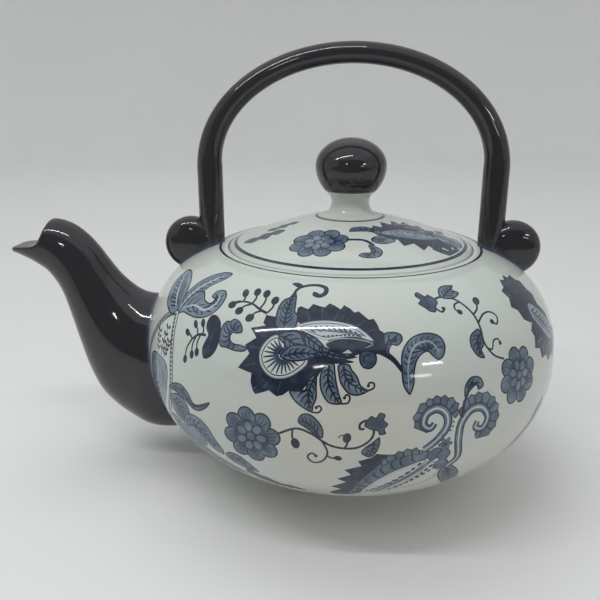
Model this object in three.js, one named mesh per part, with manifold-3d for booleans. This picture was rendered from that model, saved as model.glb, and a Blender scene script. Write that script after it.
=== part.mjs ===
// Porcelain teapot with an overhead arch handle, an S-curved spout and a lift-off lid.
// Units are millimetres, +Z is up and the pot stands on z = 0. The spout points towards -X and the handle arch
// lies in the XZ plane. The pot is drawn about its own turning axis, and the whole group is then shifted along X
// so that the origin is the centre of the part's footprint.

import * as THREE from 'three';
import { mergeVertices } from 'three/addons/utils/BufferGeometryUtils.js';
import Module from 'manifold-3d';

const wasm = await Module();
wasm.setup();

// ---- driving dimensions ----

const CLEARANCE = 0.3; // gap between neighbouring pieces
const ROUND_STEPS = 48; // facets around every turned piece

const BELLY_RADIUS = 80;
const BELLY_HEIGHT = 54; // height of the widest circle
const SHOULDER_RISE = 44; // superellipse above the widest circle
const SHOULDER_POWER_R = 3.5;
const SHOULDER_POWER_Z = 2.27;
const UNDERSIDE_DROP = 52.8; // superellipse below the widest circle
const UNDERSIDE_POWER_R = 1.84;
const UNDERSIDE_POWER_Z = 2.24;
const WALL = 4.5;

const BASE_RADIUS = 27; // flat underside inside the foot ring
const FOOT_OUTER_RADIUS = 32.5;
const FOOT_INNER_RADIUS = 28.5;

const GALLERY_RADIUS = 50.4; // flat collar around the lid
const GALLERY_HEIGHT = 93.8;
const RECESS_RADIUS = 47.7; // inner edge of the collar
const SEAT_HEIGHT = 92.2; // ledge that carries the lid
const MOUTH_RADIUS = 41;
const MOUTH_DEPTH = 4;

const LID_RADIUS = 47.2;
const LID_LINE_RADIUS = 45; // where the dome turns over into the rounded edge
const LID_LINE_HEIGHT = 94.9;
const LID_UNDERSIDE = SEAT_HEIGHT + CLEARANCE;
const DOME_TOP_RADIUS = 12.4;
const DOME_TOP_HEIGHT = 105.2;
const DOME_BULGE = 0.9; // how far the dome rises above a straight cone
const LID_WALL = 3.6;
const STEAM_HOLE_RADIUS = 1.5;
const STEAM_HOLE_OFFSET = 24;

const FLANGE_OUTER_RADIUS = 39.8;
const FLANGE_INNER_RADIUS = 36.4;
const FLANGE_BOTTOM = 83;

const NECK_WAIST_RADIUS = 7.3;
const NECK_WAIST_HEIGHT = 110.7;
const KNOB_RADIUS = 13.6;
const KNOB_HEIGHT = 124.1; // height of the ball's widest circle
const KNOB_TOP = 134.7;
const GLAZE_LINE_HEIGHT = 114.7; // where the white stem meets the dark ball

const ARCH_HALF_WIDTH = 54.6; // centre line of the handle
const ARCH_SPRING_HEIGHT = 124;
const ARCH_RISE = 40.8;
const STRAP_FOOT_HEIGHT = 84; // below the shoulder, trimmed off against it
const STRAP_RADIUS = 4.9;
const ARCH_TOP_RADIUS = 3.9;

const SCROLL_OFFSET = 63;
const SCROLL_HEIGHT = 93.3;
const SCROLL_RADIUS = 10.6;
const SCROLL_HALF_WIDTH = 6;
const SCROLL_POWER = 2.6;

const SPOUT_WALL = 2.6;
const SPOUT_REACH = 136.3;
const SPOUT_TIP_HEIGHT = 89.8;
const SPOUT_TIP_RADIUS = 1.6;

const STRAINER_HOLE_RADIUS = 2.3;
const STRAINER_PITCH = 9;
const STRAINER_HEIGHT = 42;

// ---- materials ----

const whiteGlaze = () => new THREE.MeshStandardMaterial({ color: 0xdfe3dd, roughness: 0.16, metalness: 0 });
const darkGlaze = () => new THREE.MeshStandardMaterial({ color: 0x23252c, roughness: 0.12, metalness: 0 });
const bareClay = () => new THREE.MeshStandardMaterial({ color: 0xe6e0d4, roughness: 0.8, metalness: 0 });

// ---- solids: closed meshes in and out of manifold-3d ----

function toSolid(geometry) {
  const bare = geometry.clone();
  bare.deleteAttribute('normal');
  bare.deleteAttribute('uv');
  const merged = mergeVertices(bare, 1e-4);
  const mesh = new wasm.Mesh({
    numProp: 3,
    vertProperties: new Float32Array(merged.attributes.position.array),
    triVerts: new Uint32Array(merged.index.array),
  });
  return new wasm.Manifold(mesh);
}

function toMesh(name, solid, material) {
  const { vertProperties, triVerts } = solid.getMesh();
  const geometry = new THREE.BufferGeometry();
  geometry.setAttribute('position', new THREE.BufferAttribute(new Float32Array(vertProperties), 3));
  geometry.setIndex(new THREE.BufferAttribute(new Uint32Array(triVerts), 1));
  geometry.computeVertexNormals();
  const mesh = new THREE.Mesh(geometry, material);
  mesh.name = name;
  return mesh;
}

// Turns a closed outline of [radius, height] pairs, listed from the bottom outside to the top, about Z.
function turned(outline, steps = ROUND_STEPS) {
  const points = outline.map(([radius, height]) => new THREE.Vector2(radius, height));
  const geometry = new THREE.LatheGeometry(points, steps);
  geometry.rotateX(Math.PI / 2);
  return toSolid(geometry);
}

// Skins a tube through rings of equal length and closes both ends with a fan.
function skinned(rings) {
  const sides = rings[0].length;
  const positions = rings.flat().flatMap((point) => [point.x, point.y, point.z]);
  const triangles = [];
  for (let ring = 0; ring + 1 < rings.length; ring += 1) {
    for (let side = 0; side < sides; side += 1) {
      const here = ring * sides + side;
      const next = ring * sides + ((side + 1) % sides);
      triangles.push(here, next, here + sides, next, next + sides, here + sides);
    }
  }
  const last = (rings.length - 1) * sides;
  for (let side = 1; side + 1 < sides; side += 1) {
    triangles.push(0, side + 1, side);
    triangles.push(last, last + side, last + side + 1);
  }
  const geometry = new THREE.BufferGeometry();
  geometry.setAttribute('position', new THREE.BufferAttribute(new Float32Array(positions), 3));
  geometry.setIndex(triangles);
  return toSolid(geometry);
}

function rod(radius, start, end, sides = 12) {
  const length = start.distanceTo(end);
  const geometry = new THREE.CylinderGeometry(radius, radius, length, sides);
  const direction = end.clone().sub(start).normalize();
  const turn = new THREE.Quaternion().setFromUnitVectors(new THREE.Vector3(0, 1, 0), direction);
  geometry.applyQuaternion(turn);
  geometry.translate(...start.clone().add(end).multiplyScalar(0.5).toArray());
  return toSolid(geometry);
}

// ---- pot body ----

function shoulderPoint(angle, grow = 0) {
  const radius = BELLY_RADIUS * Math.cos(angle) ** (2 / SHOULDER_POWER_R);
  const height = BELLY_HEIGHT + SHOULDER_RISE * Math.sin(angle) ** (2 / SHOULDER_POWER_Z);
  return offsetPoint(radius, height, 1, grow);
}

function undersidePoint(angle, grow = 0) {
  const radius = BELLY_RADIUS * Math.cos(angle) ** (2 / UNDERSIDE_POWER_R);
  const height = BELLY_HEIGHT - UNDERSIDE_DROP * Math.sin(angle) ** (2 / UNDERSIDE_POWER_Z);
  return offsetPoint(radius, height, -1, grow);
}

// Moves a point of the belly outline along the outline's normal; a negative distance moves it inwards.
function offsetPoint(radius, height, side, grow) {
  const above = side > 0;
  const rise = above ? SHOULDER_RISE : UNDERSIDE_DROP;
  const powerR = above ? SHOULDER_POWER_R : UNDERSIDE_POWER_R;
  const powerZ = above ? SHOULDER_POWER_Z : UNDERSIDE_POWER_Z;
  const across = (powerR / BELLY_RADIUS) * (radius / BELLY_RADIUS) ** (powerR - 1);
  const up = (powerZ / rise) * (Math.abs(height - BELLY_HEIGHT) / rise) ** (powerZ - 1);
  const length = Math.hypot(across, up);
  return [radius + (grow * across) / length, height + (side * grow * up) / length];
}

// The angle at which the belly outline comes in to a given radius.
const shoulderAngle = (radius) => Math.acos((radius / BELLY_RADIUS) ** (SHOULDER_POWER_R / 2));
const undersideAngle = (radius) => Math.acos((radius / BELLY_RADIUS) ** (UNDERSIDE_POWER_R / 2));

// Belly outline from a bottom radius up over the widest circle to a top radius, moved out by grow.
function bellyOutline(bottomRadius, topRadius, grow, steps) {
  const bottomAngle = undersideAngle(bottomRadius);
  const topAngle = shoulderAngle(topRadius);
  const lower = [];
  const upper = [];
  for (let step = 0; step < steps; step += 1) {
    lower.push(undersidePoint(bottomAngle * (1 - step / steps), grow));
  }
  for (let step = 0; step <= steps; step += 1) {
    upper.push(shoulderPoint((topAngle * step) / steps, grow));
  }
  return [...lower, ...upper];
}

// The pot filled in and grown by the clearance: what trims the pieces that stand on it.
function bellyTrim() {
  const outline = bellyOutline(BASE_RADIUS, GALLERY_RADIUS, CLEARANCE, 14);
  const [, baseHeight] = outline[0];
  return turned([[0, baseHeight], ...outline, [0, GALLERY_HEIGHT + CLEARANCE]]);
}

function bodyShell() {
  const outside = bellyOutline(BASE_RADIUS, GALLERY_RADIUS + 0.5, 0, 12);
  const inside = bellyOutline(BASE_RADIUS, GALLERY_RADIUS - 1, -WALL, 10).reverse();
  const baseHeight = outside[0][1];
  const floorHeight = inside[inside.length - 1][1];
  return turned([
    [0, baseHeight],
    ...outside,
    [GALLERY_RADIUS, GALLERY_HEIGHT],
    [RECESS_RADIUS, GALLERY_HEIGHT],
    [RECESS_RADIUS, SEAT_HEIGHT],
    [MOUTH_RADIUS, SEAT_HEIGHT],
    [MOUTH_RADIUS, SEAT_HEIGHT - MOUTH_DEPTH],
    ...inside,
    [0, floorHeight],
  ]);
}

// Seven strainer holes in a hexagon behind the spout.
function strainerHoles() {
  const holes = [[0, 0]];
  for (let corner = 0; corner < 6; corner += 1) {
    const angle = (corner * Math.PI) / 3;
    holes.push([STRAINER_PITCH * Math.cos(angle), STRAINER_PITCH * Math.sin(angle)]);
  }
  return holes.map(([y, z]) => rod(
    STRAINER_HOLE_RADIUS,
    new THREE.Vector3(-BELLY_RADIUS - WALL, y, STRAINER_HEIGHT + z),
    new THREE.Vector3(-BELLY_RADIUS + 3 * WALL, y, STRAINER_HEIGHT + z),
  ));
}

function makeBody() {
  let body = bodyShell();
  for (const hole of strainerHoles()) {
    body = body.subtract(hole);
  }
  return toMesh('pot_body', body, whiteGlaze());
}

function makeFootRing(trim) {
  const trimmedAway = 12; // tall enough to reach into the underside all round
  const ring = turned([
    [FOOT_INNER_RADIUS, 0.6],
    [FOOT_INNER_RADIUS + 0.6, 0],
    [FOOT_OUTER_RADIUS - 0.6, 0],
    [FOOT_OUTER_RADIUS, 0.6],
    [FOOT_OUTER_RADIUS, trimmedAway],
    [FOOT_INNER_RADIUS, trimmedAway],
    [FOOT_INNER_RADIUS, 0.6],
  ]);
  return toMesh('foot_ring', ring.subtract(trim), bareClay());
}

// ---- spout ----

// Sections of the spout from the root to the tip: the upper and lower edge as [x, z] and the half width along Y.
const SPOUT_SECTIONS = [
  { top: [-64, 70.5], bottom: [-50, 16], halfWidth: 20 },
  { top: [-80, 71.2], bottom: [-78, 12.2], halfWidth: 19.5 },
  { top: [-85.5, 72.6], bottom: [-92, 17.6], halfWidth: 17.5 },
  { top: [-90.3, 76], bottom: [-102.5, 26.5], halfWidth: 15.5 },
  { top: [-94.6, 80.4], bottom: [-107.8, 36.5], halfWidth: 13.8 },
  { top: [-98.4, 85.6], bottom: [-111.4, 48.5], halfWidth: 12.4 },
  { top: [-102.2, 91.2], bottom: [-114.6, 61], halfWidth: 11 },
  { top: [-106.8, 96.4], bottom: [-117.7, 71.8], halfWidth: 10 },
  { top: [-112.4, 100.4], bottom: [-122.4, 79.6], halfWidth: 9.2 },
  { top: [-119, 102.2], bottom: [-128, 84], halfWidth: 8.6 },
  { top: [-126.5, 101.5], bottom: [-133, 86.7], halfWidth: 6.6 },
  { top: [-132.5, 98], bottom: [-135.6, 88.5], halfWidth: 4 },
];
const SPOUT_RINGS = 24;
const SPOUT_SIDES = 20;

// The open bill: everything above this line is cut away. Listed from the hump down to the lip and round.
const BILL_CUT = [
  [-121, 104], [-123.2, 99.5], [-125.4, 95], [-127.3, 92.4], [-130, 91.2], [-140, 90.1], [-140, 104],
];

function spoutSections() {
  const along = (pick) => new THREE.CatmullRomCurve3(SPOUT_SECTIONS.map(pick));
  const topEdge = along(({ top }) => new THREE.Vector3(top[0], 0, top[1]));
  const bottomEdge = along(({ bottom, halfWidth }) => new THREE.Vector3(bottom[0], halfWidth, bottom[1]));
  const sections = [];
  for (let step = 0; step <= SPOUT_RINGS; step += 1) {
    const top = topEdge.getPoint(step / SPOUT_RINGS);
    const bottom = bottomEdge.getPoint(step / SPOUT_RINGS);
    const halfWidth = bottom.y;
    bottom.y = 0;
    sections.push({ top, bottom, halfWidth });
  }
  return sections;
}

function sectionRing({ top, bottom, halfWidth }, inset) {
  const centre = top.clone().add(bottom).multiplyScalar(0.5);
  const upwards = top.clone().sub(centre);
  upwards.setLength(Math.max(upwards.length() - inset, 0.5));
  const sideways = Math.max(halfWidth - inset, 0.5);
  const ring = [];
  for (let side = 0; side < SPOUT_SIDES; side += 1) {
    const angle = (side / SPOUT_SIDES) * 2 * Math.PI;
    const point = centre.clone().addScaledVector(upwards, Math.cos(angle));
    point.y += sideways * Math.sin(angle);
    ring.push(point);
  }
  return ring;
}

// The small ring that closes the lip at the spout's full reach.
function noseRing() {
  const tip = new THREE.Vector3(-SPOUT_REACH, 0, SPOUT_TIP_HEIGHT);
  const top = tip.clone().setZ(SPOUT_TIP_HEIGHT + SPOUT_TIP_RADIUS);
  const bottom = tip.clone().setZ(SPOUT_TIP_HEIGHT - SPOUT_TIP_RADIUS);
  return sectionRing({ top, bottom, halfWidth: SPOUT_TIP_RADIUS }, 0);
}

function billCutter() {
  const halfDepth = 20;
  const outline = new THREE.Shape(BILL_CUT.map(([x, z]) => new THREE.Vector2(x, z)));
  const geometry = new THREE.ExtrudeGeometry(outline, { depth: 2 * halfDepth, bevelEnabled: false });
  geometry.rotateX(Math.PI / 2);
  geometry.translate(0, halfDepth, 0);
  return toSolid(geometry);
}

function makeSpout(trim) {
  const sections = spoutSections();
  const outside = skinned([...sections.map((section) => sectionRing(section, 0)), noseRing()]);
  const channel = skinned(sections.map((section) => sectionRing(section, SPOUT_WALL)));
  const spout = outside.subtract(channel).subtract(billCutter()).subtract(trim);
  return toMesh('spout', spout, darkGlaze());
}

// ---- handle ----

const STRAP_STEPS = 6;
const ARCH_STEPS = 32;
const HANDLE_SIDES = 16;

// Centre line, direction and radius of the handle from the spout side's foot over the top to the rear foot.
function handleStations() {
  const stations = [];
  const strapLength = ARCH_SPRING_HEIGHT - STRAP_FOOT_HEIGHT;
  for (let step = 0; step < STRAP_STEPS; step += 1) {
    const height = STRAP_FOOT_HEIGHT + (strapLength * step) / STRAP_STEPS;
    stations.push({ x: -ARCH_HALF_WIDTH, z: height, direction: [0, 1], radius: STRAP_RADIUS });
  }
  for (let step = 0; step <= ARCH_STEPS; step += 1) {
    const angle = Math.PI * (1 - step / ARCH_STEPS);
    const taper = Math.sin(angle) ** 0.7;
    stations.push({
      x: ARCH_HALF_WIDTH * Math.cos(angle),
      z: ARCH_SPRING_HEIGHT + ARCH_RISE * Math.sin(angle),
      direction: [ARCH_HALF_WIDTH * Math.sin(angle), -ARCH_RISE * Math.cos(angle)],
      radius: STRAP_RADIUS + (ARCH_TOP_RADIUS - STRAP_RADIUS) * taper,
    });
  }
  for (let step = STRAP_STEPS - 1; step >= 0; step -= 1) {
    const mirrored = stations[step];
    stations.push({ ...mirrored, x: ARCH_HALF_WIDTH, direction: [0, -1] });
  }
  return stations;
}

function handleTube(grow) {
  const rings = handleStations().map(({ x, z, direction, radius }) => {
    const along = new THREE.Vector2(...direction).normalize();
    const ring = [];
    for (let side = 0; side < HANDLE_SIDES; side += 1) {
      const angle = (side / HANDLE_SIDES) * 2 * Math.PI;
      const outwards = (radius + grow) * Math.cos(angle);
      const sideways = (radius + grow) * Math.sin(angle);
      ring.push(new THREE.Vector3(x - along.y * outwards, -sideways, z + along.x * outwards));
    }
    return ring;
  });
  return skinned(rings);
}

function makeHandleArch(trim) {
  return toMesh('handle_arch', handleTube(0).subtract(trim), darkGlaze());
}

// A rounded lobe turned about Y, trimmed against the shoulder and the strap.
function makeScroll(name, side, trim, strapTrim) {
  const steps = 12;
  const outline = [];
  for (let step = 0; step <= steps; step += 1) {
    const angle = Math.PI * (step / steps - 0.5);
    const radius = SCROLL_RADIUS * Math.max(Math.cos(angle), 0) ** (2 / SCROLL_POWER);
    const along = SCROLL_HALF_WIDTH * Math.sign(angle) * Math.abs(Math.sin(angle)) ** (2 / SCROLL_POWER);
    outline.push(new THREE.Vector2(step % steps === 0 ? 0 : radius, along));
  }
  const geometry = new THREE.LatheGeometry(outline, 28);
  geometry.translate(side * SCROLL_OFFSET, 0, SCROLL_HEIGHT);
  return toMesh(name, toSolid(geometry).subtract(trim).subtract(strapTrim), darkGlaze());
}

// ---- lid ----

// The dome's upper outline from the rounded edge in to the stem's foot.
function domeOutline() {
  const steps = 8;
  const points = [];
  for (let step = 0; step <= steps; step += 1) {
    const share = step / steps;
    const radius = LID_LINE_RADIUS + (DOME_TOP_RADIUS - LID_LINE_RADIUS) * share;
    const bulge = DOME_BULGE * 4 * share * (1 - share);
    points.push([radius, LID_LINE_HEIGHT + (DOME_TOP_HEIGHT - LID_LINE_HEIGHT) * share + bulge]);
  }
  return points;
}

function makeLidDome() {
  const dome = domeOutline();
  const underside = dome.map(([radius, height]) => [radius, height - LID_WALL]).filter(([radius]) => radius < 40);
  const solid = turned([
    [LID_LINE_RADIUS - 2, LID_UNDERSIDE],
    [LID_RADIUS - 0.6, LID_UNDERSIDE],
    [LID_RADIUS, LID_UNDERSIDE + 0.6],
    [LID_RADIUS - 0.1, LID_UNDERSIDE + 1.2],
    [LID_RADIUS - 0.8, LID_UNDERSIDE + 1.9],
    ...dome,
    [0, DOME_TOP_HEIGHT],
    [0, DOME_TOP_HEIGHT - LID_WALL],
    ...underside.reverse(),
    [LID_LINE_RADIUS - 5, LID_UNDERSIDE],
    [LID_LINE_RADIUS - 2, LID_UNDERSIDE],
  ]);
  const hole = rod(
    STEAM_HOLE_RADIUS,
    new THREE.Vector3(0, STEAM_HOLE_OFFSET, LID_UNDERSIDE),
    new THREE.Vector3(0, STEAM_HOLE_OFFSET, KNOB_TOP),
  );
  return toMesh('lid_dome', solid.subtract(hole), whiteGlaze());
}

function makeLidFlange() {
  const top = LID_UNDERSIDE - CLEARANCE;
  const ring = turned([
    [FLANGE_INNER_RADIUS, FLANGE_BOTTOM],
    [FLANGE_OUTER_RADIUS - 1, FLANGE_BOTTOM],
    [FLANGE_OUTER_RADIUS, FLANGE_BOTTOM + 1],
    [FLANGE_OUTER_RADIUS, top],
    [FLANGE_INNER_RADIUS, top],
    [FLANGE_INNER_RADIUS, FLANGE_BOTTOM],
  ]);
  return toMesh('lid_flange', ring, bareClay());
}

function makeKnobNeck() {
  const foot = DOME_TOP_HEIGHT + CLEARANCE;
  const top = GLAZE_LINE_HEIGHT - CLEARANCE / 2;
  const flareSteps = 6;
  const outline = [[0, foot]];
  for (let step = 0; step <= flareSteps; step += 1) {
    const angle = (step / flareSteps) * (Math.PI / 2);
    const radius = DOME_TOP_RADIUS - (DOME_TOP_RADIUS - NECK_WAIST_RADIUS) * Math.sin(angle);
    outline.push([radius, foot + (NECK_WAIST_HEIGHT - foot) * (1 - Math.cos(angle))]);
  }
  outline.push([NECK_WAIST_RADIUS + 0.5, (NECK_WAIST_HEIGHT + top) / 2]);
  outline.push([knobRadiusAt(top), top]);
  outline.push([0, top]);
  return toMesh('lid_knob_neck', turned(outline, 32), whiteGlaze());
}

// The ball is a sphere below its widest circle and is slightly flattened above it.
function knobRadiusAt(height) {
  const reach = height < KNOB_HEIGHT ? KNOB_RADIUS : KNOB_TOP - KNOB_HEIGHT;
  return KNOB_RADIUS * Math.sqrt(1 - ((height - KNOB_HEIGHT) / reach) ** 2);
}

function makeKnobBall() {
  const bottom = GLAZE_LINE_HEIGHT + CLEARANCE / 2;
  const lowerSteps = 5;
  const upperSteps = 8;
  const outline = [[0, bottom]];
  for (let step = 0; step < lowerSteps; step += 1) {
    const height = bottom + ((KNOB_HEIGHT - bottom) * step) / lowerSteps;
    outline.push([knobRadiusAt(height), height]);
  }
  for (let step = 0; step < upperSteps; step += 1) {
    const angle = (step / upperSteps) * (Math.PI / 2);
    outline.push([KNOB_RADIUS * Math.cos(angle), KNOB_HEIGHT + (KNOB_TOP - KNOB_HEIGHT) * Math.sin(angle)]);
  }
  outline.push([0, KNOB_TOP]);
  return toMesh('lid_knob_ball', turned(outline, 32), darkGlaze());
}

// ---- assembly ----

const trim = bellyTrim();
const strapTrim = handleTube(CLEARANCE);

const pot = new THREE.Group();
pot.add(makeBody());
pot.add(makeFootRing(trim));
pot.add(makeSpout(trim));
pot.add(makeHandleArch(trim));
pot.add(makeScroll('handle_scroll_spout_side', -1, trim, strapTrim));
pot.add(makeScroll('handle_scroll_rear', 1, trim, strapTrim));

const lid = new THREE.Group();
lid.add(makeLidDome());
lid.add(makeLidFlange());
lid.add(makeKnobNeck());
lid.add(makeKnobBall());

const teapot = new THREE.Group();
teapot.add(pot, lid);
teapot.position.x = (SPOUT_REACH - BELLY_RADIUS) / 2;

export default teapot;
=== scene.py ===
"""Blue-and-white porcelain teapot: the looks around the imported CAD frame.

Lengths are metres unless a name ends in _MM, and the painted motifs are points in flat millimetres. Each
piece here is a finer skin that stands for one CAD node, and the whole stays inside the CAD model's box.
"""

import bisect
import math

import bmesh
import bpy
from mathutils import Matrix, Vector
from mathutils.geometry import delaunay_2d_cdt


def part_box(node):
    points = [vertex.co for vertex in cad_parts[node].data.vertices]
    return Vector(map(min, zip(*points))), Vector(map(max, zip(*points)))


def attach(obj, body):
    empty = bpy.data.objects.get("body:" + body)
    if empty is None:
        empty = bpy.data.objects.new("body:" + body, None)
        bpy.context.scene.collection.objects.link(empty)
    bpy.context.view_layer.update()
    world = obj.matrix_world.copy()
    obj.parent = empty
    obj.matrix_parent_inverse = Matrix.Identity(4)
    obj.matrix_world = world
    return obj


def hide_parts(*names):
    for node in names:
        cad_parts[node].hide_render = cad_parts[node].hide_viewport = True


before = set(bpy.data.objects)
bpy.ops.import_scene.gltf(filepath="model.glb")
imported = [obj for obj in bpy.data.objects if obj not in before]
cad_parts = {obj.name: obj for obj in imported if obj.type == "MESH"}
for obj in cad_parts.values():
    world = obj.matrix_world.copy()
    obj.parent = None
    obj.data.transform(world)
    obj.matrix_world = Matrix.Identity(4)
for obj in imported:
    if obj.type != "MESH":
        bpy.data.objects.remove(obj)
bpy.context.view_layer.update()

MM = 0.001

# --------------------------------------------------------------------------------------------------
# Places read from the frame, and the shape numbers of the turned outlines
# --------------------------------------------------------------------------------------------------

BODY_LOW, BODY_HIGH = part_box("pot_body")
SPOUT_LOW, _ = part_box("spout")
DOME_LOW, DOME_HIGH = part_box("lid_dome")
FLANGE_LOW, FLANGE_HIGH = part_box("lid_flange")
BALL_LOW, BALL_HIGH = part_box("lid_knob_ball")
FOOT_LOW, FOOT_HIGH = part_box("foot_ring")

BELLY_RADIUS = (BODY_HIGH.y - BODY_LOW.y) / 2
AXIS_X = BODY_HIGH.x - BELLY_RADIUS
GALLERY_HEIGHT = BODY_HIGH.z

BELLY_HEIGHT = 54 * MM
SHOULDER = (44 * MM, 3.5, 2.27)  # rise, power across, power up
UNDERSIDE = (52.8 * MM, 1.84, 2.24)  # drop, power across, power down
WALL = 4.5 * MM
BASE_RADIUS = 27 * MM
GALLERY_RADIUS = 50.4 * MM
RECESS_RADIUS = 47.7 * MM
MOUTH_RADIUS = 41 * MM
SEAT_HEIGHT = GALLERY_HEIGHT - 1.6 * MM

LID_LINE_RADIUS = 45 * MM
LID_LINE_HEIGHT = 94.9 * MM
DOME_TOP_RADIUS = 12.4 * MM
DOME_BULGE = 0.9 * MM
LID_WALL = 3.6 * MM
STEAM_HOLE = (0.0, 24 * MM, 1.5 * MM)  # across, behind the axis, radius
NECK_LINE = 1.2 * MM  # widths of the painted lines round the lid
LID_LINE = 0.45 * MM
WAIST_RADIUS = 7.3 * MM
WAIST_HEIGHT = 110.7 * MM

ROUND_STEPS = 192
WELD = 3e-6  # vertices nearer than this are one
SEAM = math.radians(-112)  # where turned skins close: no motif crosses this azimuth

# How dark the blue paint is, from bare white glaze to full navy.
WHITE = 0.0
PALE = 0.14
LIGHT = 0.34
MID = 0.56
DEEP = 0.8
NAVY = 1.0


# --------------------------------------------------------------------------------------------------
# Outlines: lists of (radius, height) turned about the pot's axis
# --------------------------------------------------------------------------------------------------

def belly_point(angle, side, grow=0.0):
    """A point of the belly's superellipse, moved out by grow. side is 1 above the widest circle, -1 below."""
    reach, power_r, power_z = SHOULDER if side > 0 else UNDERSIDE
    radius = BELLY_RADIUS * math.cos(angle) ** (2 / power_r)
    rise = reach * math.sin(angle) ** (2 / power_z)
    across = power_r / BELLY_RADIUS * (radius / BELLY_RADIUS) ** (power_r - 1)
    up = power_z / reach * (rise / reach) ** (power_z - 1)
    length = math.hypot(across, up)
    return (radius + grow * across / length, BELLY_HEIGHT + side * (rise + grow * up / length))


def belly_outline(top_radius, bottom_radius, grow=0.0, steps=160):
    """The belly from a top radius over the widest circle down to a bottom radius."""
    top = math.acos((top_radius / BELLY_RADIUS) ** (SHOULDER[1] / 2))
    bottom = math.acos((bottom_radius / BELLY_RADIUS) ** (UNDERSIDE[1] / 2))
    upper = [belly_point(top * (1 - i / steps), 1, grow) for i in range(steps)]
    lower = [belly_point(bottom * i / steps, -1, grow) for i in range(steps + 1)]
    return upper + lower


class Outline:
    """A turned outline, measured by its own length from its first point."""

    def __init__(self, points):
        self.points = points
        self.lengths = [0.0]
        for a, b in zip(points, points[1:]):
            self.lengths.append(self.lengths[-1] + math.dist(a, b))
        self.total = self.lengths[-1]

    def segment(self, length):
        i = bisect.bisect_right(self.lengths, length) - 1
        return min(max(i, 0), len(self.points) - 2)

    def at(self, length):
        i = self.segment(length)
        share = (length - self.lengths[i]) / (self.lengths[i + 1] - self.lengths[i])
        (r0, z0), (r1, z1) = self.points[i], self.points[i + 1]
        return r0 + (r1 - r0) * share, z0 + (z1 - z0) * share

    def normal(self, length):
        """The outward direction (radial, up) for an outline that runs downwards or outwards."""
        step = self.total / 400
        r0, z0 = self.at(max(length - step, 0.0))
        r1, z1 = self.at(min(length + step, self.total))
        size = math.hypot(r1 - r0, z1 - z0)
        return (z0 - z1) / size, (r1 - r0) / size

    def length_at_height(self, height):
        heights = [-z for _, z in self.points]
        i = min(max(bisect.bisect_left(heights, -height), 1), len(heights) - 1)
        (_, z0), (_, z1) = self.points[i - 1], self.points[i]
        return self.lengths[i - 1] + (z0 - height) / (z0 - z1) * (self.lengths[i] - self.lengths[i - 1])

    def length_at_radius(self, radius):
        radii = [r for r, _ in self.points]
        i = min(max(bisect.bisect_left(radii, radius), 1), len(radii) - 1)
        share = (radius - radii[i - 1]) / (radii[i] - radii[i - 1])
        return self.lengths[i - 1] + share * (self.lengths[i] - self.lengths[i - 1])


def turned_point(radius, height, azimuth):
    """Azimuth 0 faces the front, -Y; positive azimuth turns towards +X."""
    return Vector((AXIS_X + radius * math.sin(azimuth), -radius * math.cos(azimuth), height))


# --------------------------------------------------------------------------------------------------
# Meshes
# --------------------------------------------------------------------------------------------------

class Skin:
    """Vertices, faces and paint of one piece while it is being built."""

    def __init__(self):
        self.vertices = []
        self.faces = []
        self.tones = []  # one number per face corner
        self.normals = {}  # vertex number to exact normal, where one is known

    def add_vertex(self, place, normal=None):
        self.vertices.append(place)
        if normal is not None:
            self.normals[len(self.vertices) - 1] = normal
        return len(self.vertices) - 1

    def add_face(self, corners, tone=WHITE):
        self.faces.append(corners)
        self.tones.extend([tone] * len(corners))

    def add_turned(self, stations, closed=False):
        """Turns stations of (radius, height, tone of the band that follows) about the axis."""
        rings = []
        for radius, height, _ in stations:
            if radius < 1e-7:
                rings.append([self.add_vertex(Vector((AXIS_X, 0, height)))] * ROUND_STEPS)
            else:
                rings.append([
                    self.add_vertex(turned_point(radius, height, SEAM + 2 * math.pi * i / ROUND_STEPS))
                    for i in range(ROUND_STEPS)
                ])
        pairs = list(zip(rings, rings[1:]))
        if closed:
            pairs.append((rings[-1], rings[0]))
        for (upper, lower), (_, _, tone) in zip(pairs, stations):
            for i in range(ROUND_STEPS):
                j = (i + 1) % ROUND_STEPS
                corners = list(dict.fromkeys([upper[i], lower[i], lower[j], upper[j]]))
                if len(corners) > 2:
                    self.add_face(corners, tone)

    def add_grid(self, rows, closed_rows=True, flip=False):
        """Joins rows of vertex numbers of equal length."""
        count = len(rows[0])
        for a, b in zip(rows, rows[1:]):
            for i in range(count if closed_rows else count - 1):
                j = (i + 1) % count
                corners = [a[i], a[j], b[j], b[i]]
                self.add_face(corners[::-1] if flip else corners)

    def build(self, name, body, node, material):
        """Makes the object, welds its seams, and lets it ride in place of the CAD node."""
        mesh = bpy.data.meshes.new(name)
        mesh.from_pydata(self.vertices, [], self.faces)
        attribute = mesh.attributes.new("tone", "FLOAT", "CORNER")
        attribute.data.foreach_set("value", self.tones)
        attribute = mesh.attributes.new("exact", "FLOAT_VECTOR", "POINT")
        for number, normal in self.normals.items():
            attribute.data[number].vector = normal
        shape = bmesh.new()
        shape.from_mesh(mesh)
        bmesh.ops.remove_doubles(shape, verts=shape.verts, dist=WELD)
        shape.to_mesh(mesh)
        shape.free()
        mesh.shade_smooth()
        mesh.update()
        exact = [value.vector.copy() for value in mesh.attributes["exact"].data]
        if self.normals:
            smooth = [known if known.length > 0.5 else vertex.normal for known,
                      vertex in zip(exact, mesh.vertices)]
            mesh.normals_split_custom_set_from_vertices(smooth)
        mesh.attributes.remove(mesh.attributes["exact"])
        mesh.materials.append(material)
        piece = bpy.data.objects.new(name, mesh)
        bpy.context.scene.collection.objects.link(piece)
        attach(piece, body)
        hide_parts(node)
        return piece


def anticlockwise(points):
    """The same polygon, turned round where needed: the triangulation takes the inside to be on the left."""
    area = sum(a[0] * b[1] - b[0] * a[1] for a, b in zip(points, points[1:] + points[:1]))
    return points if area > 0 else points[::-1]


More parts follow.
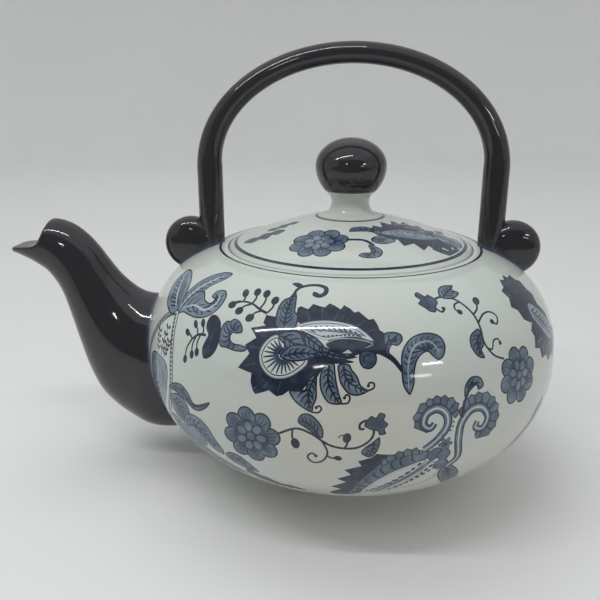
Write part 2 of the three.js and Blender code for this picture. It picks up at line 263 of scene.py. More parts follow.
def winding(edges, x, y):
    """How often a closed line of edges runs anticlockwise round a place."""
    turns = 0
    for (ax, ay), (bx, by) in edges:
        if (ay > y) != (by > y) and x < ax + (y - ay) * (bx - ax) / (by - ay):
            turns += 1 if by > ay else -1
    return turns


def top_polygons(centres, polygons):
    """For each centre, the number of the last anticlockwise polygon round it, or -1.

    Rows of 1 mm keep it quick.
    """
    rows = {}
    for number, (x, y) in enumerate(centres):
        rows.setdefault(math.floor(y), []).append((x, y, number))
    for row in rows.values():
        row.sort()
    owners = [-1] * len(centres)
    for number, points in enumerate(polygons):
        edges = list(zip(points, points[1:] + points[:1]))
        left = min(x for x, _ in points)
        right = max(x for x, _ in points)
        for row in range(math.floor(min(y for _, y in points)), math.floor(max(y for _, y in points)) + 1):
            near = [(a, b) for a, b in edges if min(a[1], b[1]) <= row + 1 and max(a[1], b[1]) >= row]
            stops = rows.get(row, [])
            for x, y, centre in stops[bisect.bisect_left(stops, (left,)):]:
                if x > right:
                    break
                if winding(near, x, y) > 0:
                    owners[centre] = number
    return owners


def paint(skin, outline, shapes, rows, holes=(), inside=False, bands=()):
    """Skins an outline with triangles that follow the painted shapes, and opens the holes.

    shapes are (points, tone) with points as (azimuth, length along the outline), later ones on top. bands
    are (start, end) lengths that are navy all the way round. The rings of vertex numbers around the holes
    are returned.
    """
    scale = BELLY_RADIUS / MM  # azimuth times this is in millimetres, like the length
    limits = {limit for band in bands for limit in band}
    stops = sorted(limits | {outline.total * j / rows for j in range(rows + 1)})
    flat = []
    for i in range(ROUND_STEPS + 1):
        for stop in stops:
            flat.append(Vector((scale * (SEAM + 2 * math.pi * i / ROUND_STEPS), stop / MM)))
    polygons = [anticlockwise([(scale * u, v / MM) for u, v in points])
                for points in [points for points, _ in shapes] + list(holes)]
    first_hole = len(shapes)
    edges = [(i * len(stops) + stops.index(limit), (i + 1) * len(stops) + stops.index(limit))
             for limit in limits for i in range(ROUND_STEPS)]
    for polygon in polygons:
        first = len(flat)
        flat.extend(Vector(point) for point in polygon)
        edges += [(first + k, first + (k + 1) % len(polygon)) for k in range(len(polygon))]
    places, _, triangles, origins, _, _ = delaunay_2d_cdt(flat, edges, [], 0, 1e-4, True)
    centres = [tuple(sum((places[k] for k in triangle), Vector((0, 0))) / 3) for triangle in triangles]
    owners = top_polygons(centres, polygons)

    seam_end = scale * (SEAM + 2 * math.pi) - 1e-3
    numbers = []
    seam_numbers = {}
    for place in sorted(range(len(places)), key=lambda k: places[k].x):
        u, v = places[place]
        key = round(v, 3)
        if u > seam_end and key in seam_numbers:
            numbers.append((place, seam_numbers[key]))
            continue
        length = min(max(v * MM, 0.0), outline.total)
        radius, height = outline.at(length)
        out, up = outline.normal(length)
        azimuth = u / scale
        sign = -1 if inside else 1
        normal = Vector((math.sin(azimuth) * out, -math.cos(azimuth) * out, up)) * sign
        number = skin.add_vertex(turned_point(radius, height, azimuth), normal)
        numbers.append((place, number))
        if u < scale * SEAM + 1e-3:
            seam_numbers[key] = number
    number_of = dict(numbers)

    for triangle, owner, (_, middle) in zip(triangles, owners, centres):
        if owner < first_hole:
            banded = any(start < middle * MM < end for start, end in bands)
            tone = shapes[owner][1] if owner >= 0 else NAVY if banded else WHITE
            corners = [number_of[k] for k in triangle]
            skin.add_face(corners if inside else corners[::-1], tone)

    corner_of = {source: number_of[k] for k, sources in enumerate(origins) for source in sources}
    rings = []
    first = len(flat)
    for hole in reversed(holes):
        first -= len(hole)
        rings.append([corner_of[first + k] for k in range(len(hole))])
    return rings


def bridge(skin, outer, inner):
    """Closes the wall of a hole between two rings of vertex numbers that run the same way round."""
    count = len(outer)
    for i in range(count):
        j = (i + 1) % count
        skin.add_face([outer[i], inner[i], inner[j], outer[j]])


def soften(stations, radius, steps=4):
    """Rounds the corners of an outline of (radius, height, tone), with a short flat left on either side."""
    points = [Vector((r, z)) for r, z, _ in stations]
    rounded = [stations[0]]
    for i in range(1, len(points) - 1):
        before = points[i - 1] - points[i]
        after = points[i + 1] - points[i]
        reach = min(radius, before.length * 0.45, after.length * 0.45)
        start = points[i] + before.normalized() * reach
        end = points[i] + after.normalized() * reach
        tone_before, tone_after = stations[i - 1][2], stations[i][2]
        for k in range(steps + 1):
            share = k / steps
            place = start.lerp(points[i], share).lerp(points[i].lerp(end, share), share)
            rounded.append((place.x, place.y, tone_before if share < 0.5 else tone_after))
    rounded.append(stations[-1])
    return rounded


# --------------------------------------------------------------------------------------------------
# Materials
# --------------------------------------------------------------------------------------------------

class Nodes:
    """A short way to write a shader tree that ends in one Principled BSDF."""

    def __init__(self, name):
        self.material = bpy.data.materials.new(name)
        self.material.use_nodes = True
        self.tree = self.material.node_tree
        self.shader = self.tree.nodes["Principled BSDF"]

    def add(self, kind, settings=None, **inputs):
        node = self.tree.nodes.new(kind)
        for key, value in (settings or {}).items():
            setattr(node, key, value)
        for key, value in inputs.items():
            self.feed(node.inputs[key.replace("_", " ")], value)
        return node

    def feed(self, socket, value):
        if isinstance(value, bpy.types.NodeSocket):
            self.tree.links.new(value, socket)
        else:
            socket.default_value = value

    def noise(self, scale, detail=2.0):
        place = self.add("ShaderNodeTexCoord").outputs["Object"]
        return self.add("ShaderNodeTexNoise", Vector=place, Scale=scale, Detail=detail).outputs["Fac"]

    def math(self, operation, a, b):
        node = self.add("ShaderNodeMath", {"operation": operation})
        self.feed(node.inputs[0], a)
        self.feed(node.inputs[1], b)
        return node.outputs[0]

    def spread(self, value, low, high):
        """Maps a noise to the range low to high."""
        node = self.add("ShaderNodeMapRange")
        limits = {"From Min": 0.3, "From Max": 0.7, "To Min": low, "To Max": high}
        for key, number in limits.items():
            node.inputs[key].default_value = number
        self.feed(node.inputs["Value"], value)
        return node.outputs[0]

    def ramp(self, factor, stops):
        node = self.add("ShaderNodeValToRGB", Fac=factor)
        elements = node.color_ramp.elements
        while len(elements) < len(stops):
            elements.new(0.5)
        for element, (position, color) in zip(elements, stops):
            element.position = position
            element.color = (*color, 1.0)
        return node.outputs["Color"]

    def mix(self, factor, a, b, blend="MIX"):
        node = self.add("ShaderNodeMix", {"data_type": "RGBA", "blend_type": blend})
        for socket, value in zip((node.inputs[0], node.inputs[6], node.inputs[7]), (factor, a, b)):
            self.feed(socket, value)
        return node.outputs[2]

    def bump(self, height, strength, distance):
        node = self.add("ShaderNodeBump", Strength=strength, Distance=distance)
        self.feed(node.inputs["Height"], height)
        self.feed(self.shader.inputs["Normal"], node.outputs["Normal"])


def painted_glaze():
    """White glaze over cobalt painting; the mesh's tone says how dark the paint is."""
    nodes = Nodes("painted_white_glaze")
    tone = nodes.add("ShaderNodeAttribute", {"attribute_name": "tone"}).outputs["Fac"]
    wash = nodes.spread(nodes.noise(260.0, 4.0), 0.8, 1.16)
    paint = nodes.ramp(nodes.math("MULTIPLY", tone, wash), (
        (0.0, (0.635, 0.66, 0.618)),
        (0.15, (0.53, 0.58, 0.60)),
        (0.35, (0.27, 0.335, 0.40)),
        (0.56, (0.112, 0.158, 0.215)),
        (0.8, (0.047, 0.066, 0.105)),
        (1.0, (0.024, 0.032, 0.055)),
    ))
    cast = nodes.ramp(nodes.spread(nodes.noise(16.0), 0.0, 1.0), (
        (0.0, (0.955, 1.0, 0.985)),
        (0.62, (1.0, 1.0, 1.0)),
        (1.0, (1.0, 0.96, 0.89)),
    ))
    nodes.feed(nodes.shader.inputs["Base Color"], nodes.mix(1.0, paint, cast, "MULTIPLY"))
    nodes.feed(nodes.shader.inputs["Roughness"], nodes.spread(nodes.noise(90.0), 0.055, 0.095))
    nodes.bump(nodes.noise(140.0, 3.0), 0.06, 0.0006)
    nodes.shader.inputs["IOR"].default_value = 1.5
    return nodes.material


def dark_glaze():
    """Thick black-blue glaze that turns blue where it runs thin; the mesh's tone says how thick it is."""
    nodes = Nodes("dark_cobalt_glaze")
    tone = nodes.add("ShaderNodeAttribute", {"attribute_name": "tone"}).outputs["Fac"]
    uneven = nodes.spread(nodes.noise(420.0, 3.0), 0.8, 1.15)
    body = nodes.ramp(nodes.math("MULTIPLY", tone, uneven), (
        (0.0, (0.16, 0.17, 0.24)),
        (0.4, (0.045, 0.046, 0.085)),
        (0.75, (0.035, 0.0345, 0.044)),
        (1.0, (0.034, 0.033, 0.0355)),
    ))
    cloud = nodes.spread(nodes.noise(38.0, 3.0), 0.8, 1.25)
    shade = nodes.ramp(cloud, ((0.0, (0.8, 0.8, 0.8)), (1.0, (1.0, 1.0, 1.0))))
    nodes.feed(nodes.shader.inputs["Base Color"], nodes.mix(1.0, body, shade, "MULTIPLY"))
    nodes.feed(nodes.shader.inputs["Roughness"], nodes.spread(nodes.noise(120.0), 0.045, 0.08))
    nodes.bump(nodes.noise(170.0, 3.0), 0.05, 0.0006)
    nodes.shader.inputs["IOR"].default_value = 1.52
    return nodes.material


def bare_porcelain():
    """Unglazed rims: matt, slightly toasted and finely grained."""
    nodes = Nodes("bare_porcelain")
    color = nodes.ramp(nodes.noise(60.0, 6.0), (
        (0.3, (0.62, 0.55, 0.45)),
        (0.45, (0.74, 0.70, 0.62)),
        (0.7, (0.80, 0.775, 0.71)),
    ))
    nodes.feed(nodes.shader.inputs["Base Color"], color)
    nodes.feed(nodes.shader.inputs["Roughness"], nodes.spread(nodes.noise(500.0), 0.62, 0.85))
    nodes.bump(nodes.noise(1500.0, 4.0), 0.25, 0.0003)
    return nodes.material


PAINTED = painted_glaze()
DARK = dark_glaze()
BARE = bare_porcelain()


# --------------------------------------------------------------------------------------------------
# Lines
# --------------------------------------------------------------------------------------------------

def catmull_rom(points, steps):
    """A smooth open line through points of any dimension."""
    padded = [points[0]] + list(points) + [points[-1]]
    line = []
    for p0, p1, p2, p3 in zip(padded, padded[1:], padded[2:], padded[3:]):
        for k in range(steps):
            t = k / steps
            line.append(tuple(
                0.5 * (2 * b + (c - a) * t + (2 * a - 5 * b + 4 * c - d) * t * t
                       + (3 * b - a - 3 * c + d) * t ** 3)
                for a, b, c, d in zip(p0, p1, p2, p3)
            ))
    line.append(tuple(points[-1]))
    return line


# --------------------------------------------------------------------------------------------------
# Drawing: a motif is a list of (points, tone) in flat millimetres, x to the right and y up, the last on top
# --------------------------------------------------------------------------------------------------

THIN = 0.36
FINE = 0.52
BRUSH = 1.3  # how much wider a brush line comes out than it is drawn


def smooth(points, closed=True, steps=4):
    """A Catmull-Rom line through the points."""
    if not closed:
        return catmull_rom(points, steps)
    looped = [points[-1]] + list(points) + list(points[:2])
    return catmull_rom(looped, steps)[steps:steps + len(points) * steps]


def inset(points, distance):
    """The closed outline drawn in by a distance."""
    points = anticlockwise(points)
    inner = []
    for before, here, after in zip(points[-1:] + points[:-1], points, points[1:] + points[:1]):
        x, y = after[0] - before[0], after[1] - before[1]
        length = math.hypot(x, y) or 1.0
        inner.append((here[0] - y / length * distance, here[1] + x / length * distance))
    return inner


def outlined(points, fill, width=FINE, edge=NAVY):
    return [(points, edge), (inset(points, width), fill)]


def oval(x, y, across, up, turn=0.0, steps=14):
    c, s = math.cos(math.radians(turn)), math.sin(math.radians(turn))
    ring = []
    for k in range(steps):
        angle = 2 * math.pi * k / steps
        a, b = across * math.cos(angle), up * math.sin(angle)
        ring.append((x + a * c - b * s, y + a * s + b * c))
    return ring


def stroke(points, start, middle, end, tone=NAVY, smoothed=True):
    """A brush line along points, with its width at the start, the middle and the end."""
    line = smooth(points, closed=False) if smoothed and len(points) > 2 else list(points)
    left, right = [], []
    last = len(line) - 1
    for k, (x, y) in enumerate(line):
        before, after = line[max(k - 1, 0)], line[min(k + 1, last)]
        dx, dy = after[0] - before[0], after[1] - before[1]
        length = math.hypot(dx, dy) or 1.0
        share = 2 * k / last
        width = start + (middle - start) * share if share < 1 else middle + (end - middle) * (share - 1)
        half = max(width, 0.12) * BRUSH / 2
        left.append((x - dy / length * half, y + dx / length * half))
        right.append((x + dy / length * half, y - dx / length * half))
    return [(left + right[::-1], tone)]


def tendril(points, width=FINE, ball=0.9):
    """A stem that ends in a round bud."""
    return stroke(points, width, width, width) + [(oval(*points[-1], ball, ball), NAVY)]


def berry(stem_start, place, size=1.1):
    """A drop-shaped bud on a short bowed stem."""
    (x0, y0), (x1, y1) = stem_start, place
    bow = ((x0 + x1) / 2 + (y1 - y0) * 0.12, (y0 + y1) / 2 - (x1 - x0) * 0.12)
    turn = math.degrees(math.atan2(y1 - y0, x1 - x0))
    bud = oval(x1, y1, size * 1.6, size * 1.2, turn)
    return stroke([stem_start, bow, place], FINE, FINE, FINE) + [(bud, NAVY)]


def ray_reach(outline, start, direction):
    """How far a ray runs from start before it meets the outline."""
    best = 0.0
    for (ax, ay), (bx, by) in zip(outline, outline[1:] + outline[:1]):
        ex, ey = bx - ax, by - ay
        cross = direction[0] * ey - direction[1] * ex
        if abs(cross) < 1e-9:
            continue
        along = ((ax - start[0]) * ey - (ay - start[1]) * ex) / cross
        share = ((ax - start[0]) * direction[1] - (ay - start[1]) * direction[0]) / cross
        if along > 0 and 0 <= share <= 1 and (best == 0.0 or along < best):
            best = along
    return best


VEIN_REACH = 0.82  # how much of the way to the leaf's edge a side vein runs


def ribs(outline, spine, count, lean=50, width=THIN, tone=NAVY):
    """Side veins on both sides of a spine, leaning towards its end and stopping short of the outline."""
    line = smooth(spine, closed=False, steps=12) if len(spine) > 2 else [
        (spine[0][0] + (spine[1][0] - spine[0][0]) * k / 24,
         spine[0][1] + (spine[1][1] - spine[0][1]) * k / 24)
        for k in range(25)
    ]
    veins = []
    for k in range(1, count + 1):
        i = min(int(k * (len(line) - 1) / (count + 1)), len(line) - 2)
        (x, y), (nx, ny) = line[i], line[i + 1]
        heading = math.atan2(ny - y, nx - x)
        for side in (-1, 1):
            angle = heading + side * math.radians(lean)
            direction = (math.cos(angle), math.sin(angle))
            reach = ray_reach(outline, (x, y), direction) * VEIN_REACH
            if 0.5 < reach < 12:
                bend = heading + side * math.radians(lean * 0.45)
                middle = (x + direction[0] * reach * 0.55, y + direction[1] * reach * 0.55)
                end = (middle[0] + math.cos(bend) * reach * 0.4, middle[1] + math.sin(bend) * reach * 0.4)
                veins += stroke([(x, y), middle, end], width * 1.3, width, width * 0.5, tone, smoothed=False)
    return veins


def leaf(points, spine, count=5, fill=MID, edge=FINE, lean=50):
    """An outlined leaf with a midrib and side veins."""
    outline = smooth(points)
    return outlined(outline, fill, edge) + ribs(outline, spine, count, lean) + stroke(spine, FINE, FINE, THIN)


def along(points, distance_step):
    """Evenly spaced (x, y, heading) along a line."""
    line = smooth(points, closed=False, steps=10)
    stops, travelled, due = [], 0.0, 0.0
    for (x0, y0), (x1, y1) in zip(line, line[1:]):
        length = math.hypot(x1 - x0, y1 - y0)
        while length > 0 and due <= travelled + length:
            share = (due - travelled) / length
            stops.append((x0 + (x1 - x0) * share, y0 + (y1 - y0) * share, math.atan2(y1 - y0, x1 - x0)))
            due += distance_step
        travelled += length
    return stops


def fringe(points, reach, pitch):
    """A scalloped leaf along the left of a line: outlined, with a dark line at every notch."""
    point = 0.8
    inner, outer, notches = [], [], []
    stops = along(points, pitch / 2)
    for k, (x, y, heading) in enumerate(stops):
        taper = min(1.0, 0.45 + 3.2 * min(k, len(stops) - 1 - k) / len(stops))
        out = (math.cos(heading + math.pi / 2), math.sin(heading + math.pi / 2))
        far = reach * taper + (point if k % 2 else 0.0)
        inner.append((x, y))
        outer.append((x + out[0] * far, y + out[1] * far))
        if k % 2 == 0:
            notches.append(((x + out[0] * far * 0.15, y + out[1] * far * 0.15), outer[-1]))
    drawn = outlined(inner + outer[::-1], MID, 0.35)
    for start, end in notches:
        drawn += stroke([start, end], 0.5, 0.4, 0.3)
    return drawn


def beads(points, pitch=1.3, size=0.5, tone=NAVY):
    return [(oval(x, y, size, size * 0.8, math.degrees(heading), 8), tone) for x, y,
            heading in along(points, pitch)]


def flower(x, y, radius, squash=1.0):
    """A round blossom: an outer ring of veined petals, an inner ring and a heart."""
    petals = 8
    drawn = []
    for k in range(petals):
        angle = 2 * math.pi * (k + 0.25) / petals
        cx, cy = x + math.cos(angle) * radius * 0.66, y + math.sin(angle) * radius * 0.66 * squash
        turn = math.degrees(angle)
        drawn += outlined(oval(cx, cy, radius * 0.37, radius * 0.335, turn, 18), MID, 0.55)
        for lean in (-16, 0, 16):
            a = angle + math.radians(lean) * 0.6
            start = (x + math.cos(a) * radius * 0.55, y + math.sin(a) * radius * 0.55 * squash)
            end = (x + math.cos(a) * radius * 0.86, y + math.sin(a) * radius * 0.86 * squash)
            drawn += stroke([start, end], FINE, THIN, 0.15, DEEP)
    drawn.append((oval(x, y, radius * 0.62, radius * 0.60 * squash, 0, 24), DEEP))
    inner = 7
    for k in range(inner):
        angle = 2 * math.pi * k / inner
        cx, cy = x + math.cos(angle) * radius * 0.36, y + math.sin(angle) * radius * 0.36 * squash
        petal = oval(cx, cy, radius * 0.20, radius * 0.165, math.degrees(angle), 14)
        drawn += outlined(petal, 0.5, THIN)
    heart = oval(x, y, radius * 0.17, radius * 0.17 * squash, 0, 12)
    return drawn + outlined(heart, MID, THIN)


def moved(shapes, x=0.0, y=0.0, turn=0.0, size=1.0):
    """The shapes turned and sized about their origin, then shifted."""
    c, s = math.cos(math.radians(turn)) * size, math.sin(math.radians(turn)) * size
    return [([(x + px * c - py * s, y + px * s + py * c) for px, py in points], tone)
            for points, tone in shapes]


# ---- the motifs ----

def lotus_mass():
    """The dark jagged leaves: the low ones and the crest over them."""
    drawn = []
    mass = [
        (-9, 11), (-14.2, 11.2), (-14.6, 8.4), (-13.6, 7.6), (-18.6, 6), (-17, 4.4), (-16, 3.2), (-18, 1.6),
        (-19.6, 0.4), (-17.6, -2), (-19.4, -4.5), (-21.2, -7), (-16.2, -7.8), (-16.3, -10.5), (-15.4, -13),
        (-14.5, -14), (-12, -13), (-10, -12), (-7.4, -13.5), (-5.4, -12.8), (-3.2, -11), (0, -11.6),
        (1.8, -9),
        (4.6, -7), (6.5, -3), (8, 0), (0, 5), (-4, 9),
    ]
    drawn.append((mass, NAVY))
    for x, y in ((-13, 9.5), (-16.8, 5.6), (-17.8, 0.4), (-19, -6), (-15, -12.5), (-11.8, -11.6),
                 (-7.2, -12.2)):
        drawn += stroke([(x, y), (x * 0.72 - 1, y * 0.72)], THIN, FINE, 0.2, DEEP)
    crest = [
        (-4.5, 11), (-4.4, 15.4), (-3.4, 16), (-1, 15.1), (0.2, 17.3), (2.6, 16.6), (4, 16.3), (5.3, 18),
        (7.6, 16.8), (9, 15.8), (9.8, 17.5), (12, 16.1), (13.4, 14.7), (14.6, 15.2), (17, 13.1), (18.2, 12.1),
        (19.6, 12.5), (21, 10.4), (22, 8.4), (23.2, 7.8), (23.8, 5.4), (24.8, 3), (24.4, 1), (16, 1), (0, 8),
    ]
    drawn.append((crest, NAVY))
    for x, y in ((-1.4, 14.6), (3.4, 15.8), (8.4, 15.4), (12.8, 14.2), (17.2, 12), (21, 9)):
        inner = (6 + (x - 6) * 0.78, 6 + (y - 6) * 0.62)
        drawn += stroke([(x, y), inner], THIN, FINE, 0.2, DEEP)
    return drawn


def lotus_lenses():
    """A hatched pale lens and a dark one below it."""
    lens = smooth([
        (-3.5, 8.8), (0, 10.6), (6, 11.5), (12, 10.7), (16.5, 8.7), (20.6, 5), (16, 6.2), (12.5, 6.3),
        (9, 5.6),
        (6, 5), (2, 6), (-1.5, 7.4),
    ])
    drawn = [(lens, LIGHT), (inset(lens, 0.3), WHITE), (inset(lens, 0.75), DEEP), (inset(lens, 1.0), PALE)]
    for k in range(9):
        x = 0.5 + 1.75 * k
        top = 9.6 - 0.022 * (x - 6) ** 2
        drawn += stroke([(x, top), (x + 1.0, top - 1.1), (x + 2.4, top - 1.7)], 0.55, FINE, 0.15, DEEP)
    drawn += stroke([(0, 8.2), (6, 8), (12, 7.6), (17.5, 6.9)], THIN, THIN, THIN, MID)
    drawn += beads([(5.5, 6.2), (10, 6.7), (15, 6.9)], 1.25, 0.42, DEEP)

    dark_lens = smooth([
        (6.2, 4), (9, 5.6), (13, 6), (17, 5.5), (20.6, 4.2), (18, 2.6), (15, 1.2), (12, 0.2), (9, 1.2),
        (7, 2.5),
    ])
    drawn += outlined(dark_lens, NAVY, 0.35, LIGHT)
    drawn.append(([(11.6, 1.2), (13.2, 2.4), (14.6, 1.3)], PALE))
    return drawn


def lotus_shell():
    """A pale shell with spokes like a fan."""
    shell = smooth([
        (-9.3, 5.2), (-12.6, 2.6), (-14.2, -1.5), (-12.9, -5.4), (-9.4, -7.9), (-5.2, -7.7), (-1.4, -5.6),
        (1.6, -2), (-1, 1.6), (-5, 3.4),
    ])
    drawn = [(shell, LIGHT), (inset(shell, 0.35), WHITE), (inset(shell, 0.8), NAVY),
             (inset(shell, 1.15), WHITE)]
    for k in range(15):
        angle = math.radians(118 + 15.2 * k)
        direction = (math.cos(angle), math.sin(angle))
        heart = (-6.2, -0.6)
        reach = ray_reach(shell, heart, direction) - 1.5
        start = (heart[0] + direction[0] * 1.5, heart[1] + direction[1] * 1.5)
        end = (heart[0] + direction[0] * reach, heart[1] + direction[1] * reach)
        drawn += stroke([start, end], 0.75, 0.5, 0.3, DEEP)
    return drawn


def lotus_leaves():
    """The leaves over the shell, and three curled ones that hang below."""
    drawn = []
    for outline, spine, count in (
        ([(-8.8, 5.4), (-6, 6.9), (-2, 7), (0.6, 4.2), (-1, 1), (-4, -0.8), (-8, -0.6), (-6.4, 2), (-8, 3.6)],
         [(-8, 5), (-4, 3.4), (-2, 1)], 4),
        ([(-2.4, 7.2), (1, 6.6), (4.6, 4.6), (6.8, 1.6), (3, 0.8), (0.2, 3)],
         [(-1.6, 6.6), (2, 4.6), (5.8, 2)], 4),
        ([(-7.4, -1.2), (-4.4, 2.4), (0, 3.1), (4, 1.7), (7, 0.2), (3, -0.8), (0, -1.9), (-4, -2.4)],
         [(-6, -1), (-1, 0.4), (5, 0.4)], 5),
        ([(5.4, 3), (8, 2.2), (12, 0.7), (16.4, 0.2), (12, -0.8), (8, -0.6), (5.6, 0.6)],
         [(6, 1.4), (10, 0.3), (15, 0)], 4),
        ([(2.6, -0.8), (8, -0.5), (13, -0.7), (15.4, -1.4), (11, -2), (6, -2), (2, -1.7)],
         [(3, -1.2), (9, -1.2), (14, -1.3)], 3),
    ):
        drawn += leaf(outline, spine, count, MID)

    for outline, spine, curl in (
        ([(3.4, -5.8), (1.8, -8), (1.2, -10.4), (-3.3, -11), (-2.6, -13.1), (-0.4, -15.2), (3.6, -17.2),
          (4.4, -15), (5.2, -12.5), (5, -9), (4.8, -6.3)],
         [(4.2, -6.4), (2.6, -11), (3.2, -16.6)], [(3.6, -17), (5.6, -17.1), (6.7, -15.9), (6, -14.9),
                                                   (5.1, -15.5)]),
        ([(7, -2), (5.7, -5), (5.7, -8.5), (6.8, -11.6), (9, -14), (12.7, -13.9), (11.9, -11), (11, -8),
          (10.2, -4.5), (9.6, -2)],
         [(8.2, -2.6), (8.4, -8), (11.8, -13.6)], [(12.5, -13.9), (14.5, -13.5), (15, -11.8), (14, -11),
                                                   (13.4, -12)]),
        ([(10.8, -2.2), (11, -5), (12, -8), (14.5, -10.8), (17.5, -11.3), (20.4, -9.8), (18.2, -8.3),
          (16.8, -5.5), (15, -3.5), (14, -2)],
         [(12.4, -2.6), (14, -7), (19.4, -9.8)], [(20, -9.8), (21.8, -9), (21.8, -7.6), (20.5, -7.4),
                                                  (20.2, -8.3)]),
    ):
        drawn += leaf(outline, spine, 6, 0.5)
        drawn += tendril(curl, 0.45, 0.5)
    return drawn


def lotus_bud():
    """The upright bud leaf with a hook, and the stem with a scroll and a knob."""
    bud = [
        (-10.2, 7.6), (-10.9, 11), (-10.8, 15), (-9.6, 18), (-8, 19.2), (-6.8, 22), (-5.7, 20), (-5.2, 17),
        (-4.8, 13.8), (-3.6, 12.4), (-3.4, 9.5), (-4.5, 7.4),
    ]
    drawn = leaf(bud, [(-7.4, 8), (-7.6, 14), (-6.8, 20.6)], 7, MID)
    drawn += stroke([(-6.9, 20.6), (-6.4, 22.6), (-5.2, 24.2), (-2.6, 25.5), (0.4, 25.8), (2.8, 24.6),
                     (3, 22.2),
                     (1.6, 20.9), (0, 21.3), (0.2, 22.4)], 0.7, 1.1, 1.5)
    drawn += [(smooth([(-5.4, 23.6), (-7, 24.2), (-8.7, 25.4), (-6.8, 26.3), (-4.6, 25)]), NAVY)]

    drawn += stroke([(13.5, 0.2), (17, 1.9), (21, 2.4), (24.5, 1), (27.5, -1.2), (30.2, -4.4)], 0.9, 1.5, 0.8)
    drawn += leaf([(23.2, 7.3), (26, 7.9), (28.6, 7), (29.4, 5), (28, 3.3), (26.2, 3.6), (25.6, 1.6),
                   (26.6, -0.6),
                   (24.6, 0.8), (23.6, 4)], [(24.6, 2), (25, 5), (27.6, 5.4)], 3)
    knob = smooth([(16.8, 1.4), (19, 2.4), (21.6, 1.2), (22.1, -1.4), (20.6, -3.3), (18.3, -3.1),
                   (16.9, -1.2)])
    drawn += outlined(knob, 0.72, 0.5)
    return drawn + stroke([(18.4, -1.6), (18.3, 0.4), (20, 1)], THIN, THIN, THIN)


def lotus():
    """The great blossom: dark jagged leaves around a hatched lens and a fan shell."""
    return lotus_mass() + lotus_lenses() + lotus_shell() + lotus_leaves() + lotus_bud()


def hook_leaf():
    """A long leaf that hooks over to the right."""
    outline = [
        (32.7, -11.5), (30.6, -8.5), (29.8, -4.5), (29.3, 0), (29.9, 3), (31.8, 5.6), (35, 6.8), (38.5, 6.6),
        (41.8, 5), (43.6, 2), (43.2, -1), (41.4, -2), (39.3, -0.6), (37.6, 0.8), (35.6, 0), (34.4, -2),
        (34, -5),
        (34.2, -8), (33.6, -10.5),
    ]
    spine = [(32.5, -9.5), (31.8, -2), (33.4, 3), (38, 4), (41.4, 0.6)]
    drawn = leaf(outline, spine, 12, MID, 0.55, lean=65)
    return drawn + stroke(spine, 0.3, 0.6, 0.3, LIGHT)


def berry_sprig():
    """A twig with round berries on short stems."""
    drawn = stroke([(-14, 11.8), (-17, 12.8), (-20, 14.2), (-24, 14.4), (-28, 12.4)], 0.8, 0.6, 0.45)
    for start, place in (
        ((-24, 14.4), (-24.2, 17.8)), ((-20.4, 14.2), (-19.8, 19.2)), ((-17, 13), (-16.2, 19.2)),
        ((-14, 12), (-12.5, 17)), ((-25, 14.3), (-28, 12.3)), ((-20.6, 14), (-24.5, 10.8)),
        ((-16, 12.4), (-19.8, 9.2)),
    ):
        drawn += berry(start, place)
    return drawn


def kidney_bud():
    """Two dark lobes with a ruffled scroll on one side and a leafy twig on the other."""
    scroll = smooth([
        (-30, 0), (-29.9, 4), (-28.4, 6.4), (-26.8, 6.8), (-25.2, 7.9), (-22.6, 7), (-21.2, 4.3), (-23, 3.2),
        (-25, 3), (-25.4, 1.2), (-24, 0.1), (-21, 0.1), (-18.6, -0.4), (-19.6, -1.8), (-23, -2.3),
        (-26.5, -2),
        (-29, -2),
    ])
    drawn = outlined(scroll, MID, 0.45)
    drawn += ribs(scroll, [(-22.4, -1), (-26.4, -0.4), (-27.4, 2.6), (-25.4, 5.2), (-22.6, 4.8)], 9, 70)
    drawn.append((smooth([
        (-36.8, 4), (-35.6, 6.7), (-33, 7.2), (-30.6, 5.4), (-29.9, 2), (-29.9, -1.4), (-31.2, -4.6),
        (-33.6, -6.8),
        (-35.8, -7.2), (-36.8, -4.6), (-35.8, -1.6), (-35, 0.4), (-36.4, 2),
    ]), NAVY))
    drawn += stroke([(-31.6, 4), (-33.4, 0), (-33.8, -4.6)], 0.2, 0.45, 0.2, DEEP)
    drawn += stroke([(-36, 0), (-39.4, -0.6), (-42.4, -2.8), (-44.6, -6)], 0.7, 0.6, 0.45)
    for start, place in (
        ((-37.6, -0.2), (-38.6, 3.4)), ((-40, -1), (-42.2, 2.2)), ((-42.4, -2.8), (-45.6, -1.4)),
        ((-38.6, -0.6), (-39.2, -6.2)), ((-40.6, -1.6), (-41.6, -7.6)), ((-42.6, -3), (-45, -10)),
    ):
        drawn += berry(start, place, 0.9)
    return drawn


